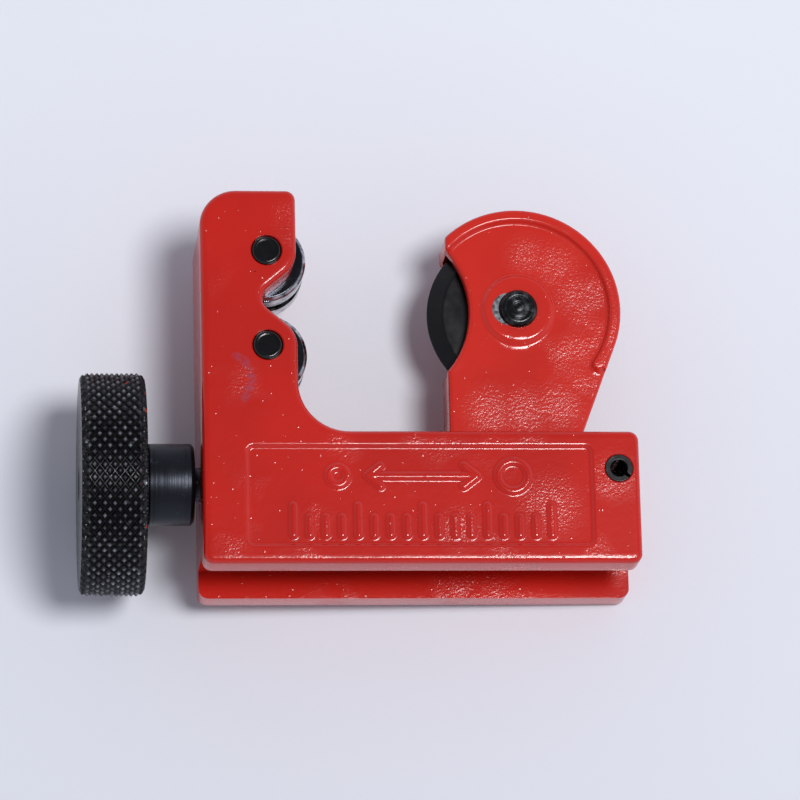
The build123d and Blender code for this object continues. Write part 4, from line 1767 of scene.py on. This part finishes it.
# ------------------------------------------------------------------------------ stop pin
@dataclass
class StopPin:
    """The slotted spring pin that stops the carriage at the body's open end."""

    bore: float = 1.2
    slit: float = 0.5
    slit_angle: float = -40.0
    edge: float = 0.12

    def build(self, maker: Maker) -> None:
        """Makes the rolled pin: an open ring carried along its length.

        Args:
            maker: makes the piece.
        """
        low, high = maker.tool.span("stop_pin")
        centre = (float(high[0] + low[0]) / 2, float(high[1] + low[1]) / 2)
        outer = (high[1] - low[1]) / 2
        wide, close = (math.degrees(math.asin(self.slit / 2 / r)) for r in (outer, self.bore))
        start = self.slit_angle
        outline = Outline.from_arcs([
            Arc(centre, outer, start + wide, start + 360 - wide),
            Arc(centre, self.bore, start + 360 - close, start + close),
        ], chord=0.2)
        black = TurnedMetal(
            "spring_steel_pin", centre=centre, colour="#1B1B1E", worn_and_highlight="#55565B", metallic=0.6,
            roughness=(0.22, 0.36), groove_mm=0.3, groove_height_mm=0.004, wear=0.4,
        )
        shape = plate(outline, low[2], high[2], self.edge, land=0.01)
        maker.piece("slotted_stop", shape, black, "body", "stop_pin")


# ------------------------------------------------------------------------------ studio
@dataclass
class Studio:
    """The pale floor, the soft light and the camera.

    The lamp stands high on the right, so shadows are short and fall to the left.
    """

    floor_half: float = 2.5
    side_colour: str = "#E6E9F5"
    side_strength: float = 1.0
    overhead_colour: str = "#DDE2F2"
    overhead_strength: float = 0.16
    key_power: float = 11.0
    key_size: float = 0.37
    key_place: tuple[float, float, float] = (0.39, -0.085, 1.23)
    azimuth: float = 3.6388
    elevation: float = 74.9163
    roll: float = 2.3928
    distance: float = 0.6702
    aim_height: float = 0.012
    aim_right: float = 0.006825
    aim_up: float = 0.000347
    lens: float = 209.6
    sensor: float = 36.0

    def floor(self, tool: ToolFrame) -> None:
        """Lays the floor at the height the tool stands on.

        Args:
            tool: the tool's frame.
        """
        reach = self.floor_half
        corners = [(-reach, -reach, 0), (reach, -reach, 0), (reach, reach, 0), (-reach, reach, 0)]
        mesh = bpy.data.meshes.new("studio_floor")
        mesh.from_pydata(corners, [], [(0, 1, 2, 3)])
        mesh.materials.append(StudioPaper("studio_paper").material(tool))
        item = bpy.data.objects.new("studio_floor", mesh)
        bpy.context.scene.collection.objects.link(item)

    def lights(self) -> None:
        """Sets a surround that is pale at the sides and dim overhead, and one soft lamp.

        The surround's colour runs in a straight line with the height of the direction.
        """
        world = bpy.data.worlds.new("studio_surround")
        world.use_nodes = True
        tree = world.node_tree
        tree.nodes.clear()
        way = add_node(tree, "TexCoord", output="Generated")
        lift = add_node(tree, "SeparateXYZ", {0: way}, output=2)
        share = add_node(tree, "MapRange", {0: lift, 1: 0.0, 2: 1.0, 3: 0.0, 4: 1.0})
        side, over = (
            tuple(strength * part for part in srgb(colour)[:3]) + (1.0,)
            for colour, strength in (
                (self.side_colour, self.side_strength), (self.overhead_colour, self.overhead_strength),
            )
        )
        colour = add_node(tree, "Mix", {0: share, 6: side, 7: over}, output=2, data_type="RGBA")
        back = add_node(tree, "Background", {0: colour, 1: 1.0})
        add_node(tree, "OutputWorld", {0: back})
        bpy.context.scene.world = world
        lamp = bpy.data.lights.new("soft_key", "AREA")
        lamp.shape, lamp.size, lamp.energy = "DISK", self.key_size, self.key_power
        item = bpy.data.objects.new("soft_key", lamp)
        item.location = self.key_place
        item.rotation_euler = (-Vector(self.key_place)).to_track_quat("-Z", "Y").to_euler()
        bpy.context.scene.collection.objects.link(item)

    def camera(self) -> None:
        """Stands the camera over the tool.

        The view's direction comes from its azimuth and elevation, and its right and up are
        then turned about it by the roll.
        """
        az, el, roll = (math.radians(v) for v in (self.azimuth, self.elevation, self.roll))
        ahead = Vector((math.sin(az) * math.cos(el), math.cos(az) * math.cos(el), -math.sin(el)))
        level = Vector((math.cos(az), -math.sin(az), 0))
        upright = level.cross(ahead)
        right = math.cos(roll) * level + math.sin(roll) * upright
        up = math.cos(roll) * upright - math.sin(roll) * level
        aim = Vector((0, 0, self.aim_height)) + self.aim_right * right + self.aim_up * up
        lens = bpy.data.cameras.new("view")
        lens.lens, lens.sensor_width = self.lens, self.sensor
        lens.clip_start, lens.clip_end = 0.01, 20
        item = bpy.data.objects.new("view", lens)
        turn = Matrix((right, up, -ahead)).transposed().to_4x4()
        item.matrix_world = Matrix.Translation(aim - ahead * self.distance) @ turn
        bpy.context.scene.collection.objects.link(item)
        bpy.context.scene.camera = item

    def build(self, tool: ToolFrame) -> None:
        """Sets up the floor, the light, the camera and the plain colour transform.

        Args:
            tool: the tool's frame.
        """
        self.floor(tool)
        self.lights()
        self.camera()
        bpy.context.scene.view_settings.view_transform = "Standard"


def main() -> None:
    """Builds every piece, then the studio."""
    logging.basicConfig(level=logging.INFO, format="%(message)s")
    tool = ToolFrame.from_joints(frame["joints"])
    maker = Maker(tool)
    parts = [
        BodyCasting(), GuideRoller("upper"), GuideRoller("lower"), FeedScrew(), Carriage(), CutterWheel(),
        StopPin(),
    ]
    for part in parts:
        part.build(maker)
    Studio().build(tool)
    LOG.info("%d pieces", len(maker.made))


if __name__ == "__main__":
    main()
